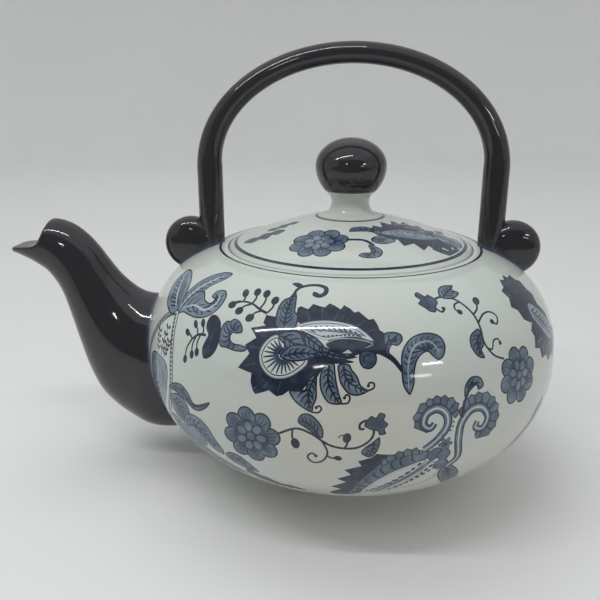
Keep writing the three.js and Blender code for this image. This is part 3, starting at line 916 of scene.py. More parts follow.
def flower_vine():
    """A blossom with a curling vine that ends in a lobed bud."""
    drawn = stroke([(-21, 1), (-15, 3.9), (-10, 2.6), (-7, 0.6), (-4, -1), (0, -1.7), (4, -1.2), (7.6, 1.4),
                    (8.6, 4.6), (6.8, 7.8), (4.6, 7), (4.4, 5.2), (5.8, 5.2)], 0.6, 0.6, 0.6)
    drawn += tendril([(-7, 0.6), (-5.2, -3.4), (-6.6, -7), (-9.6, -8.1), (-11.4, -6), (-10, -4.3),
                      (-8.8, -5.3)], 0.5, 0.6)
    drawn += berry((-5.6, -4.8), (-2, -5.6), 0.8)
    drawn += berry((-16, 3.4), (-15.2, -1.4), 1.2)
    drawn += berry((0, -1.6), (0.6, 2), 1.1)
    drawn += stroke([(0.4, 2), (-0.8, 3), (-2, 2)], 0.3, 0.3, 0.3)
    drawn += leaf([(-14.4, 6), (-13.6, 8.6), (-11, 9.3), (-8.4, 7.6), (-6.6, 4.6), (-6.8, 1.4), (-9, 2.4),
                   (-12, 4.4)],
                  [(-8, 2.4), (-10.4, 5.4), (-13.4, 7)], 5)
    drawn += leaf([(8.2, 0.6), (10.4, 2.4), (10.6, -0.4), (9.4, -3.6), (7.4, -5), (5, -3.4), (5.8, -1.4)],
                  [(8.6, 1), (8.6, -2), (7.4, -4.4)], 4)
    drawn += outlined(smooth([
        (5.6, 6.4), (7.6, 9.4), (9, 8.8), (10.2, 10.4), (12, 9.6), (11.6, 8), (12.9, 6.6), (11.9, 5),
        (12.3, 3.4),
        (10.4, 3), (9.6, 4.4), (7.8, 4.8),
    ]), 0.72, 0.4)
    drawn += flower(-30.2, -2, 10.2)
    return drawn


def rosette_vine():
    """The tall vine on the right: a blossom below, comb leaves and curls up to a lobed bud."""
    drawn = stroke([(2.6, -3.6), (-1.6, -1.4), (-4, 3), (-3.2, 8), (-3.2, 13), (-5.6, 18.6), (-9.6, 21),
                    (-13.2, 20.4),
                    (-15, 17.6), (-13.8, 15.4), (-12.2, 16.4)], 0.5, 0.65, 0.6)
    drawn += [(oval(-12.4, 16.6, 0.7, 0.7), NAVY)]
    drawn += leaf([(-10.6, 20.8), (-9.4, 24), (-6.4, 25.8), (-2.4, 25.2), (-4, 23.4), (-2.6, 21.6), (-5, 20),
                   (-7.6, 19.6)],
                  [(-9.4, 21), (-6.6, 22.8), (-3.4, 24.2)], 4)
    drawn += outlined(smooth([
        (-12.6, 19.6), (-14, 22.8), (-15.4, 22.2), (-16.8, 24.4), (-18.6, 22.8), (-18, 20.8), (-19.6, 19.4),
        (-18.4, 17.4), (-17.6, 16), (-15.8, 15.6), (-14.6, 17.4),
    ]), 0.72, 0.4)
    drawn += tendril([(-5.2, 18), (-7.6, 17.4), (-8.6, 15.6), (-7.6, 14.4)], 0.5, 1.0)
    drawn += berry((-3.2, 12.6), (1.4, 17), 1.1)
    drawn += tendril([(-3.2, 9.4), (0.6, 11.9), (4, 12.1), (6, 10), (4.4, 7.6), (2.8, 8.8)], 0.5, 0.9)
    drawn += leaf([(-3.8, 7.4), (-6, 7.4), (-8.8, 5.6), (-9.6, 2.4), (-8, -0.8), (-5.4, -1.6), (-5.8, 1),
                   (-4.2, 2.6)],
                  [(-4.2, 6), (-6.8, 3.6), (-6.6, -0.4)], 5)
    drawn += tendril([(-3.6, 1.4), (-1.6, 0.4), (0, 2.8), (2.2, 3), (2.6, 1.6)], 0.45, 0.7)
    return drawn + flower(9.2, -10.6, 9.6)


def thistle():
    """The lower blossom: a jagged collar, a beaded band and dotted pale leaves."""
    collar = [
        (-12, 0.6), (-18, 1.4), (-19.4, 0), (-23.4, -1.6), (-22, -3.6), (-27, -5.6), (-24.6, -8),
        (-28.6, -10.6),
        (-25.4, -12.6), (-29.4, -16.6), (-25.8, -18.4), (-28.6, -23), (-27, -25.4), (-20, -25), (-14, -12),
        (-8, -4),
    ]
    drawn = [(collar, NAVY)]
    for x, y in ((-17, -0.4), (-21.6, -3), (-24.4, -7), (-25.6, -12), (-26.4, -17.6), (-26, -23)):
        drawn += stroke([(x, y), (x * 0.78, y * 0.8 - 2)], THIN, FINE, 0.2, DEEP)
    band = smooth([(-17.6, -4), (-12, 0.4), (-4, 1.4), (2, -0.6), (-4, -3), (-12, -7), (-17, -14), (-20, -24),
                   (-22.4, -24),
                   (-21.6, -12)])
    drawn += outlined(band, MID, 0.4)
    drawn += ribs(band, [(-21, -23), (-19, -14), (-13, -5.4), (-4, -0.8)], 9, 75, 0.5)
    drawn += fringe([(-15.4, -4), (-12.4, -1.6), (-8, -0.2), (-3, 0)], 2.3, 2.4)
    for outline in (
        [(-19, -22.5), (-17.6, -14), (-13, -7.6), (-7, -4), (-1.6, -2.6), (-4.6, -8), (-10, -14),
         (-14.6, -20.6)],
        [(-13.4, -21), (-8.4, -15.4), (-3.6, -9.4), (0.4, -3.6), (4.4, -8.6), (3.4, -14), (-3, -18.6)],
    ):
        shape = smooth(outline)
        drawn += [(shape, MID), (inset(shape, 0.4), WHITE), (inset(shape, 0.9), LIGHT),
                  (inset(shape, 1.15), 0.07)]
    for start, end, rows in (((-17, -20), (-3.6, -4.4), 9), ((-15.6, -19.6), (-6.6, -8), 7),
                             ((-10, -19), (2, -7), 9),
                             ((-8, -17.6), (0.6, -6), 8)):
        for k in range(rows):
            x = start[0] + (end[0] - start[0]) * k / (rows - 1)
            y = start[1] + (end[1] - start[1]) * k / (rows - 1)
            drawn.append((oval(x, y, 0.85, 0.55, 50, 8), NAVY))
    drawn += stroke([(0.6, -2.8), (-4.6, -8.6), (-11.4, -16.4), (-14.6, -22)], 0.9, 1.5, 0.5, MID)
    drawn += leaf([(5.4, -6.4), (9, -8), (13, -13), (15, -20), (11.4, -23.6), (7.4, -18), (4.6, -12)],
                  [(6.4, -8.4), (9.6, -14), (12.4, -21)], 6)
    for outline in ([(-2, -1), (0, 1.6), (2.6, 1.4), (3, -1.6), (0.4, -3.4)],
                    [(1.6, -1.6), (4.4, 1), (6.6, -1.4), (4.6, -4.6)],
                    [(2.2, -4), (5.4, -3.8), (7, -6.8), (3.6, -8.4), (1.4, -6.4)]):
        drawn += outlined(smooth(outline), MID, 0.35)
    return drawn


def comb_scrolls():
    """Two scrolls that rise from the thistle, each with a fringe of lobes, and a sprout between them."""
    drawn = fringe([(-1.2, 10), (-3.4, 11), (-3, 14), (0.4, 15.4), (4, 14.4), (6.6, 10.6)], 3.4, 1.7)
    drawn += fringe([(9, 11), (12.4, 13), (17, 13), (19.8, 9), (18, 5), (14.6, 5.6)], 4.2, 1.9)
    for path in (
        [(-3, 1.6), (1.2, 5), (4, 9), (3.6, 13), (0.4, 15.4), (-3.2, 14), (-4, 10.6), (-1.8, 9),
         (-0.4, 10.6)],
        [(6.6, -7.6), (9.6, -4), (8.6, 3), (9, 9), (12.4, 13), (16.8, 12.8), (19.4, 9), (17.6, 5.4),
         (14.6, 6.4),
         (15.2, 8.4)],
    ):
        drawn += stroke(path, 2.1, 2.5, 1.7, NAVY)
        drawn += stroke(path, 1.4, 1.7, 0.9, MID)
        drawn += stroke(path, 0.35, 0.6, 0.3, PALE)
    drawn += stroke([(9, 11), (9.6, 15), (11, 18.6)], 0.8, 0.8, 0.8)
    drawn += leaf([(9.8, 17.4), (10, 21), (12.6, 23.4), (16, 22.6), (17.2, 19.8), (15, 18.8), (14.2, 20.4),
                   (12.4, 19.4)],
                  [(10.6, 18.4), (12.4, 21), (15.8, 21)], 3)
    for k in range(6):
        angle = k * 60
        x, y = 4 + 1.5 * math.cos(math.radians(angle)), 2.6 + 1.5 * math.sin(math.radians(angle))
        drawn += outlined(oval(x, y, 1.15, 0.75, angle, 10), MID, 0.25)
    drawn.append((oval(4, 2.6, 0.6, 0.6), NAVY))
    drawn += beads([(2.6, 6), (5.6, 7.6), (6.2, 11)], 1.5, 0.4)
    return drawn


def tall_banner():
    """The pointed oval with beaded bands beside the spout, its plumes, and the dark leaves at its foot."""
    outer = smooth([
        (-7, 15), (-3.6, 15.6), (0, 8), (2.6, 0), (3.2, -9), (0.4, -18), (-5, -27), (-12, -33), (-20, -34),
        (-25, -26), (-26, -14), (-23, -3), (-17, 6), (-12, 11.6),
    ])
    drawn = [(outer, NAVY), (inset(outer, 0.5), PALE), (inset(outer, 1.9), NAVY), (inset(outer, 2.4), WHITE)]
    drawn += beads([(-4.4, 13.6), (-1.2, 7), (1.3, 0), (1.9, -9), (-0.9, -17.6), (-6, -26), (-12, -31.4)],
                   1.5, 0.62, NAVY)
    drawn += beads([(-7.4, 13.2), (-12, 10), (-16.4, 4.8), (-21.8, -4), (-24.6, -14), (-23.6, -25.4)], 1.5,
                   0.62, NAVY)
    for base, top in (((-7, -2), (-6, 8.6)), ((-10, -2), (-12, 5.6)), ((-4.4, -2), (-2.4, 4.6))):
        drawn += stroke([base, top], 0.5, 0.45, 0.3)
        for k in range(4):
            share = 0.25 + 0.25 * k
            x, y = base[0] + (top[0] - base[0]) * share, base[1] + (top[1] - base[1]) * share
            for side in (-1, 1):
                drawn.append((oval(x + side * 1.1, y, 1.0, 0.6, side * 35, 8), NAVY))
    drawn += leaf([(-18, -5), (-10, -2.4), (-1.4, -4), (-1.6, -12), (-7, -22), (-13, -28), (-19, -24),
                   (-21, -14)],
                  [(-9.6, -4), (-9, -12), (-12, -24)], 8, 0.48)
    for outline, spine in (
        ([(-6, 13.4), (-11, 13), (-18, 15.6), (-23, 21.4), (-22, 28), (-16, 29), (-9, 25.4), (-4.6, 18.4)],
         [(-7, 15.6), (-12.6, 20), (-18.6, 25.6)]),
        ([(-5.4, 15.4), (-6.4, 22), (-4.4, 29), (0.4, 35), (5.4, 36.4), (6, 33), (2.8, 27.6), (1.6, 21.6),
          (-2, 16)],
         [(-4, 17), (-2.2, 25), (3.4, 34)]),
        ([(-3.6, 14.6), (-0.6, 15.6), (3, 15.6), (8, 15.8), (12.6, 17.6), (15, 21.4), (14.2, 26), (11, 28.6),
          (8, 27.4), (7.8, 24.8), (10.2, 24), (9.4, 22.4), (6, 23), (2.4, 25.6), (-1.6, 23)],
         [(-2.4, 16.8), (3, 19.6), (9.4, 19.4), (12.2, 23), (10.6, 26.6)]),
    ):
        drawn += leaf(outline, spine, 8, 0.46)
        drawn += stroke(spine, 0.3, 0.7, 0.3, PALE)
    drawn += leaf([(0, -11.4), (4, -8.4), (9, -7.4), (13, -9.2), (16.4, -12.2), (23.6, -9.2), (21, -12.6),
                   (16, -14.6),
                   (10.6, -12.6), (5, -11.6)], [(1.6, -10.8), (8.6, -9.6), (15, -13), (21.6, -11)], 5, 0.62)
    drawn += leaf([(-3, -24), (2, -22), (9, -26), (18, -33), (28, -40), (20, -41), (9, -38), (1, -32)],
                  [(-1, -24.6), (8, -31), (24, -39.4)], 8, 0.5)
    drawn += leaf([(0.4, -14.6), (5.6, -11.8), (11, -13), (13, -17.4), (10.6, -22), (5, -22.6), (1, -19)],
                  [(2, -15), (6.4, -16.6), (10.6, -20)], 5)
    lobed = [(6.6, -23), (9.6, -18.6), (13, -16.8), (17.6, -16.8), (21.4, -19), (23.4, -23), (25, -27.4),
             (23.4, -30.6),
             (19.6, -29.6), (17.6, -27), (16.4, -29.4), (11, -30), (8, -27)]
    drawn += leaf(lobed, [(8.6, -23.4), (15.6, -21.4), (22.4, -27.4)], 8, 0.5, 0.5)
    return drawn


def jagged_leaf():
    """A dark jagged leaf with a pale veined heart."""
    jagged = [
        (21.3, 21.5), (23.6, 20.4), (26, 22.2), (28, 20.2), (31, 20.6), (32.6, 17.8), (35.4, 16.4),
        (35.6, 12.6),
        (38, 10), (36.8, 6.6), (40, 3.4), (42.4, 1.4), (43, -3), (46.6, -5), (46, -9), (48.6, -11.4),
        (43.6, -11.2),
        (40.4, -14.4), (37.4, -11.6), (33, -13), (30.6, -9.8), (26, -9.8), (25, -6), (21.4, -5), (22.8, -1.4),
        (21.6, 1), (24, 3), (19.6, 5.4), (18.6, 9), (15.8, 11), (17.8, 14), (16.6, 17.4), (19.4, 18.2),
    ]
    drawn = [(jagged, NAVY)]
    for x, y in ((22, 20), (26, 20.6), (31, 18.6), (34.4, 14), (36, 9), (19, 15), (19.6, 9)):
        drawn += stroke([(x, y), (27 + (x - 27) * 0.4, 9 + (y - 9) * 0.45)], THIN, FINE, 0.2, DEEP)
    for x, y in ((24, -4), (28, -8), (33, -11), (39, -12), (45, -9.6)):
        drawn += stroke([(x, y), (34 + (x - 34) * 0.5, -3 + (y + 3) * 0.4)], FINE, FINE, 0.3, MID)
    heart = [(26, 8), (29, 9.4), (34, 6), (40, 0.6), (43, -5.6), (39.6, -7.4), (34, -4.6), (29, 0.4), (26, 4)]
    drawn += leaf(heart, [(27.4, 6.8), (34, 0.6), (41.4, -6)], 8, LIGHT)
    return drawn


def foot_leaf():
    """A broad dark leaf that runs under the belly."""
    outline = [(-24, -6), (-21, -9.6), (-17, -10.4), (-13.6, -13.6), (-9, -14), (-4, -17), (-8, -17.8),
               (-14, -17.4),
               (-20, -14.6), (-25, -11)]
    return leaf(outline, [(-23, -8), (-16, -12.6), (-6, -16.6)], 7, 0.66)


def small_leaf():
    """A short veined leaf that points down to the right."""
    return leaf([(-6, 1), (-3.6, 4), (0.6, 4.2), (4, 1), (6, -3.6), (1, -3.4), (-3, -2.4)],
                [(-5, 0.8), (0, 0.6), (5, -2.8)], 4)


def slim_leaf():
    """A long leaf that climbs to the right."""
    blade = leaf([(-12, 0), (-6, 2.8), (2, 2.6), (7, 3.4), (12.6, 0.4), (6, -2), (-2, -2.6), (-7, -2)],
                 [(-11, 0), (0, 0.2), (11, 0.6)], 8, 0.62)
    return moved(blade, turn=48)


def small_spray():
    """A filler: a short stem with three leaves and a curl."""
    drawn = stroke([(-6, -2), (-1, 0.6), (4, 0), (7, 2.6)], 0.6, 0.6, 0.5)
    drawn += tendril([(4, 0), (7.6, -1.6), (9, -4), (7, -5), (6.4, -3.6)], 0.45, 0.7)
    drawn += leaf([(-6, -2), (-9, 0.8), (-13, 1), (-14.6, -1.6), (-11.4, -4), (-8, -3.6)],
                  [(-7, -2), (-10.4, -1.4), (-13.6, -1.4)], 4)
    drawn += leaf([(6.6, 2), (6.4, 5.6), (9, 8.4), (12, 7.6), (11.6, 4.2), (9.4, 2.4)],
                  [(7.4, 3), (9, 5.4), (11, 7)], 4)
    return drawn + berry((-1, 0.6), (-1.6, 5), 1.1)


def lid_crest():
    """The lid's dark veined leaf with a hatched heart and a plume."""
    crest = [
        (-12, 1), (-10, 4.4), (-7, 3.2), (-6, 7), (-2.6, 5.4), (-1, 8.8), (1.6, 6.8), (4, 9.6), (6, 6.8),
        (9.4, 8.8),
        (10.4, 5.6), (14, 6.4), (14, 3.2), (17.6, 2.4), (16, -0.6), (18.6, -3), (14.6, -4), (14, -7),
        (10.4, -5.4),
        (8, -8.4), (5, -5.8), (1.8, -8.6), (0, -5.4), (-4.4, -7), (-5, -3.8), (-9.6, -4),
    ]
    crest = [(x, y * 1.25) for x, y in crest]
    drawn = [(crest, NAVY)]
    lens = smooth([(-9, -0.4), (-3, 2.2), (4, 3), (12, 0.6), (6, -2.6), (-1, -3.2)])
    drawn += [(lens, LIGHT), (inset(lens, 0.35), MID)]
    drawn += ribs(lens, [(-8, -0.6), (1, 0), (10.6, 0.2)], 8, 55, 0.35, LIGHT)
    drawn += stroke([(-8, -0.6), (1, 0), (10.6, 0.2)], 0.35, 0.35, 0.35, LIGHT)
    drawn += stroke([(2, 5.6), (6, 6.2), (9, 4.4), (6, 3.8)], 0.4, 0.5, 0.4, LIGHT)
    drawn += stroke([(-1, 7.6), (4, 9), (9, 7.4), (11, 4.8)], 0.4, 0.5, 0.4, LIGHT)
    drawn += leaf([(-9, 1), (-12.6, 4.6), (-17.4, 5), (-19.4, 2.4), (-16.4, 1.6), (-13, 0.8), (-10, -1)],
                  [(-10, 0.8), (-14, 3), (-18, 3)], 4)
    drawn += leaf([(-8, -3), (-11.6, -2.2), (-14.4, -4.4), (-13, -7), (-9.6, -7.4), (-6, -5.6)],
                  [(-8.6, -4), (-12.6, -4.8)], 3)
    return drawn


def lid_sprigs():
    """Two lobed leaves, the smaller one behind."""
    lobed = leaf([(-7.6, 1.2), (-5, 3.8), (-2.4, 2.2), (0, 4), (3, 2.6), (5.6, 3.6), (8.4, 0.4), (5.6, -2),
                  (3.6, -0.8), (1.6, -3.4), (-1, -1.8), (-4, -2.6)], [(-6.6, 1), (0, 0.6), (7, 0.2)], 6, 0.66)
    return lobed + moved(lobed, 6.6, 6.4, turn=6, size=0.78)


def curled_tip():
    """A short dark leaf with a rolled end."""
    return leaf([(-7, -0.6), (-3.6, 1.6), (1, 1), (4.6, 3.4), (6.4, 7), (8.6, 5), (7.6, 0.6), (3.6, -3),
                 (-2, -3.4)],
                [(-6, -0.8), (1, -1), (6.8, 4)], 4, DEEP)


def frilled_leaf():
    """A pale veined leaf with a frilled edge."""
    return leaf([(-6, -2), (-5.4, 2.4), (-2, 4.6), (1, 3.4), (3.4, 5.6), (5.6, 2.6), (5.4, -1.4), (6.4, -5),
                 (3, -6.4),
                 (0.6, -5), (-2.6, -5.6)], [(-5.6, -1), (0, -0.6), (5.4, -3)], 7, 0.42)


def wrap_round(outline, azimuth, height):
    """Wraps flat millimetres onto a turned outline, with a given place as their origin."""
    origin = outline.length_at_height(height * MM)

    def wrap(x, y):
        length = min(max(origin - y * MM, 0.5 * MM), outline.total - 0.5 * MM)
        radius, _ = outline.at(length)
        return (math.radians(azimuth) + x * MM / radius, length)

    return wrap


def belly_shapes(outline):
    """The front's groups, the same on the far side, and fillers by the rear strap."""
    shapes = []

    def place(motif, azimuth, height, **change):
        wrap = wrap_round(outline, azimuth, height)
        for points, tone in moved(motif, **change):
            shapes.append(([wrap(x, y) for x, y in points], tone))

    groups = (
        (berry_sprig() + kidney_bud() + lotus() + hook_leaf(), -10, 76),
        (flower_vine(), 0, 50),
        (foot_leaf(), -7, 38),
        (small_leaf(), -27, 34.5),
        (tall_banner(), -50, 65),
        (thistle() + comb_scrolls(), 20, 45),
        (rosette_vine() + jagged_leaf(), 38, 74),
        (slim_leaf(), 54, 40),
    )
    for far_side in (0, 180):
        for motif, azimuth, height in groups:
            place(motif, azimuth + far_side, height)
    place(flower(0, 0, 8.6), 86, 47)
    place(small_spray(), 82, 68)
    place(small_spray(), 90, 26, turn=-70, size=0.9)
    return shapes


def lid_shapes(outline):
    """The painting on the lid, drawn in plan: millimetres across and behind the axis."""
    shapes = []

    def place(motif, across, behind, **change):
        for points, tone in moved(motif, across, behind, **change):
            wrapped = []
            for x, y in points:
                radius = min(max(math.hypot(x, y), 13.4), 43.6)
                azimuth = (math.atan2(x, -y) - SEAM) % (2 * math.pi) + SEAM
                wrapped.append((azimuth, outline.length_at_radius(radius * MM)))
            shapes.append((wrapped, tone))

    place(flower(0, 0, 10.4, squash=0.82), -10.7, -28.3)
    place(stroke([(-1, -27.6), (5, -27.4), (8.6, -30.4)], 1, 1, 1.2), 0, 0)
    place(leaf([(6.6, -30.4), (9.6, -31), (11.6, -33.4), (10.4, -37), (6.4, -38.4), (3.2, -37.4),
                (4.6, -35.4), (7.4, -34.6)],
               [(7.6, -31), (9, -34.4), (5, -37)], 4), 0, 0)
    place(lid_crest(), 20.5, -17, turn=20, size=1.08)
    place(frilled_leaf(), 37, -8)
    place(curled_tip(), 35, -22, turn=18, size=0.85)
    place(lid_sprigs(), -32.5, -13.6)
    place(lid_crest(), -7, 25, turn=192, size=0.92)
    place(flower(0, 0, 9), 24, 22)
    place(small_spray(), 36, 6, turn=70, size=0.7)
    return shapes


# --------------------------------------------------------------------------------------------------
# The pot
# --------------------------------------------------------------------------------------------------

STRAINER_RADIUS = 2.3 * MM
STRAINER_PITCH = 9 * MM
STRAINER_HEIGHT = 42 * MM
HOLE_STEPS = 20
TOP_RADIUS = GALLERY_RADIUS + 0.7 * MM  # where the painted skin starts, just outside the gallery's line


def strainer_rings(outline):
    """The outlines of the seven strainer holes behind the spout, as (azimuth, length along the outline)."""
    centres = [(0.0, 0.0)]
    centres += [(STRAINER_PITCH * math.cos(k * math.pi / 3), STRAINER_PITCH * math.sin(k * math.pi / 3))
                for k in range(6)]
    rings = []
    for across, up in centres:
        ring = []
        for k in range(HOLE_STEPS):
            turn = 2 * math.pi * k / HOLE_STEPS
            height = STRAINER_HEIGHT + up + STRAINER_RADIUS * math.sin(turn)
            length = outline.length_at_height(height)
            radius, _ = outline.at(length)
            y = across + STRAINER_RADIUS * math.cos(turn)
            ring.append((-math.acos(-y / radius), length))
        rings.append(ring)
    return rings


def make_pot():
    skin = Skin()
    outside = Outline(belly_outline(TOP_RADIUS, BASE_RADIUS))
    inside = Outline(belly_outline(GALLERY_RADIUS - 1 * MM, BASE_RADIUS, -WALL))
    outer_holes = paint(skin, outside, belly_shapes(outside), 80, strainer_rings(outside))
    inner_holes = paint(skin, inside, [], 50, strainer_rings(inside), inside=True)
    for outer, inner in zip(outer_holes, inner_holes):
        bridge(skin, outer, inner)

    mouth_floor = SEAT_HEIGHT - 4 * MM
    top = [
        (*inside.points[0], WHITE),
        (MOUTH_RADIUS, mouth_floor, WHITE),
        (MOUTH_RADIUS, SEAT_HEIGHT, WHITE),
        (RECESS_RADIUS, SEAT_HEIGHT, WHITE),
        (RECESS_RADIUS, GALLERY_HEIGHT, WHITE),
        (GALLERY_RADIUS - 0.25 * MM, GALLERY_HEIGHT, NAVY),
        (GALLERY_RADIUS + 0.4 * MM, GALLERY_HEIGHT - 0.1 * MM, NAVY),
        (*outside.points[0], WHITE),
    ]
    skin.add_turned(soften(top, 0.5 * MM))
    skin.add_turned([(*outside.points[-1], WHITE), (0, outside.points[-1][1], WHITE)])
    skin.add_turned([(0, inside.points[-1][1], WHITE), (*inside.points[-1], WHITE)])
    skin.build("pot_body_skin", "pot", "pot_body", PAINTED)


def make_foot_ring():
    inner = (FOOT_HIGH.y - FOOT_LOW.y) / 2 - 4 * MM
    outer = (FOOT_HIGH.y - FOOT_LOW.y) / 2
    root = 7 * MM
    sunk = [(inner, root, WHITE), (inner, FOOT_LOW.z, WHITE), (outer, FOOT_LOW.z, WHITE),
            (outer, root, WHITE)]
    skin = Skin()
    skin.add_turned(soften(sunk, 0.9 * MM)[::-1], closed=True)
    skin.build("foot_ring_skin", "pot", "foot_ring", BARE)


# --------------------------------------------------------------------------------------------------
# Pieces joined to the shoulder: they are cut off a little inside the pot's wall
# --------------------------------------------------------------------------------------------------

SINK = 1.0 * MM  # how far these pieces reach into the wall
THIN_REACH = 2.6 * MM  # over this distance from the wall the dark glaze is thin


def belly_cutter():
    """The filled pot, a little smaller than it is."""
    skin = Skin()
    outline = belly_outline(GALLERY_RADIUS, BASE_RADIUS, -SINK)
    lid = outline[0][1]
    skin.add_turned([(0, lid, WHITE)] + [(r, z, WHITE) for r, z in outline] + [(0, outline[-1][1], WHITE)])
    return solid_object("cutter", skin)


def solid_object(name, skin):
    """A plain object from a skin's vertices and faces."""
    mesh = bpy.data.meshes.new(name)
    mesh.from_pydata(skin.vertices, [], skin.faces)
    solid = bpy.data.objects.new(name, mesh)
    bpy.context.scene.collection.objects.link(solid)
    return solid


def apply_modifiers(piece):
    """Bakes the piece's modifiers into its mesh."""
    graph = bpy.context.evaluated_depsgraph_get()
    mesh = bpy.data.meshes.new_from_object(piece.evaluated_get(graph))
    piece.modifiers.clear()
    old = piece.data
    piece.data = mesh
    bpy.data.meshes.remove(old)


def cut(piece, cutters):
    for cutter in cutters:
        modifier = piece.modifiers.new("cut", "BOOLEAN")
        modifier.operation = "DIFFERENCE"
        modifier.solver = "EXACT"
        modifier.object = cutter
    apply_modifiers(piece)


def wall_gap(place, outline):
    """Roughly how far a place lies outside the pot's wall."""
    radius = math.hypot(place.x - AXIS_X, place.y)
    return min(math.dist((radius, place.z), point) for point in outline)


def finish_dark(piece, node):
    """Smooth shading, the thickness of the glaze, and the node this piece stands for."""
    mesh = piece.data
    mesh.materials.clear()
    mesh.materials.append(DARK)
    mesh.shade_smooth()
    wall = belly_outline(GALLERY_RADIUS, BASE_RADIUS, 0.0, 60)
    tones = [min(wall_gap(vertex.co, wall) / THIN_REACH, 1.0) for vertex in mesh.vertices]
    attribute = mesh.attributes.new("tone", "FLOAT", "POINT")
    attribute.data.foreach_set("value", tones)
    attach(piece, "pot")
    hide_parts(node)


# ---- spout ----

# Sections from the root to the tip: the upper and lower edge as (x, z) from the axis, and the half width.
SPOUT_SECTIONS_MM = [
    ((-64, 70.5), (-50, 16), 20),
    ((-80, 71.2), (-78, 12.2), 19.5),
    ((-85.5, 72.6), (-92, 17.6), 17.5),
    ((-90.3, 76), (-102.5, 26.5), 15.5),
    ((-94.6, 80.4), (-107.8, 36.5), 13.8),
    ((-98.4, 85.6), (-111.4, 48.5), 12.4),
    ((-102.2, 91.2), (-114.6, 61), 11),
    ((-106.8, 96.4), (-117.7, 71.8), 10),
    ((-112.4, 100.4), (-122.4, 79.6), 9.2),
    ((-119, 102.2), (-128, 84), 8.8),
    ((-126.5, 101.5), (-133, 86.7), 8.4),
    ((-132.5, 98), (-135.6, 88), 7.4),
]
SPOUT_STEPS = 10  # rings between two sections
SPOUT_SIDES = 64
SPOUT_WALL = 2.6 * MM
LIP_WALL = 1.4 * MM
NOSE_RADIUS = 2.0 * MM
NOSE_HALF_WIDTH = 4.8 * MM
NOSE_HEIGHT = 89.9 * MM
# The open bill: everything above this line is cut away, from the hump down to the lip.
BILL_CUT_MM = [(-119.6, 104), (-121.2, 99.6), (-122.8, 95.8), (-124.4, 93.2), (-127, 92), (-131, 91.5),
               (-140, 91)]


def spout_tube(root_inset, tip_inset):
    """A closed tube through the sections, drawn in by an inset that changes from the root to the tip."""
    flat = [(*top, *bottom, half) for top, bottom, half in SPOUT_SECTIONS_MM]
    rows = [tuple(value * MM for value in row) for row in catmull_rom(flat, SPOUT_STEPS)]
    if root_inset == 0:
        tip = SPOUT_LOW.x - AXIS_X
        rows.append((tip, NOSE_HEIGHT + NOSE_RADIUS, tip, NOSE_HEIGHT - NOSE_RADIUS, NOSE_HALF_WIDTH))
    skin = Skin()
    rings = []
    for k, (top_x, top_z, bottom_x, bottom_z, half) in enumerate(rows):
        inset = root_inset + (tip_inset - root_inset) * k / len(rows)
        top = Vector((AXIS_X + top_x, 0, top_z))
        bottom = Vector((AXIS_X + bottom_x, 0, bottom_z))
        centre = (top + bottom) / 2
        upwards = (top - bottom) / 2
        upwards *= max(upwards.length - inset, 0.5 * MM) / upwards.length
        sideways = max(half - inset, 0.5 * MM)
        ring = []
        for side in range(SPOUT_SIDES):
            turn = 2 * math.pi * side / SPOUT_SIDES
            ring.append(skin.add_vertex(
                centre + upwards * math.cos(turn) + Vector((0, sideways * math.sin(turn), 0))))
        rings.append(ring)
    skin.add_grid(rings, flip=True)
    skin.add_face(rings[0])
    skin.add_face(rings[-1][::-1])
    return skin


def bill_cutter():
    """A block with the bill's line as its lower face."""
    line = [(AXIS_X + x * MM, z * MM) for x, z in catmull_rom(BILL_CUT_MM, 6)]
    line += [(line[-1][0], 110 * MM), (line[0][0], 110 * MM)]
    skin = Skin()
    half_depth = 20 * MM
    front = [skin.add_vertex(Vector((x, -half_depth, z))) for x, z in line]
    back = [skin.add_vertex(Vector((x, half_depth, z))) for x, z in line]
    skin.add_grid([front, back])
    skin.add_face(front[::-1])
    skin.add_face(back)
    return skin


def make_spout(cutter):
    spout = solid_object("spout_skin", spout_tube(0, 0))
    channel = solid_object("channel", spout_tube(SPOUT_WALL, LIP_WALL))
    bill = solid_object("bill", bill_cutter())
    cut(spout, [channel, bill, cutter])
    for tool in (channel, bill):
        bpy.data.objects.remove(tool)
    # The glaze rounds every edge: an even remesh, then a light smoothing.
    remesh = spout.modifiers.new("even", "REMESH")
    remesh.mode = "VOXEL"
    remesh.voxel_size = 0.55 * MM
    smooth = spout.modifiers.new("round", "SMOOTH")
    smooth.factor = 0.5
    smooth.iterations = 8
    apply_modifiers(spout)
    finish_dark(spout, "spout")


# ---- handle ----

ARCH_HALF_WIDTH = 54.6 * MM
ARCH_SPRING = 124 * MM
ARCH_RISE = 40.8 * MM
STRAP_FOOT = 84 * MM
STRAP_RADIUS = 4.9 * MM
ARCH_TOP_RADIUS = 3.9 * MM
STRAP_STEPS = 24
ARCH_STEPS = 120
HANDLE_SIDES = 40


def handle_stations():
    """Centre (x, z), direction (x, z) and radius, from the spout side's foot over to the rear foot."""
    up = []
    for k in range(STRAP_STEPS):
        height = STRAP_FOOT + (ARCH_SPRING - STRAP_FOOT) * k / STRAP_STEPS
        up.append((-ARCH_HALF_WIDTH, height, 0.0, 1.0, STRAP_RADIUS))
    over = []
    for k in range(ARCH_STEPS + 1):
        turn = math.pi * (1 - k / ARCH_STEPS)
        taper = max(math.sin(turn), 0.0) ** 0.7
        over.append((
            ARCH_HALF_WIDTH * math.cos(turn),
            ARCH_SPRING + ARCH_RISE * math.sin(turn),
            ARCH_HALF_WIDTH * math.sin(turn),
            -ARCH_RISE * math.cos(turn),
            STRAP_RADIUS + (ARCH_TOP_RADIUS - STRAP_RADIUS) * taper,
        ))
    down = [(-x, z, 0.0, -1.0, radius) for x, z, _, _, radius in reversed(up)]
    return up + over + down


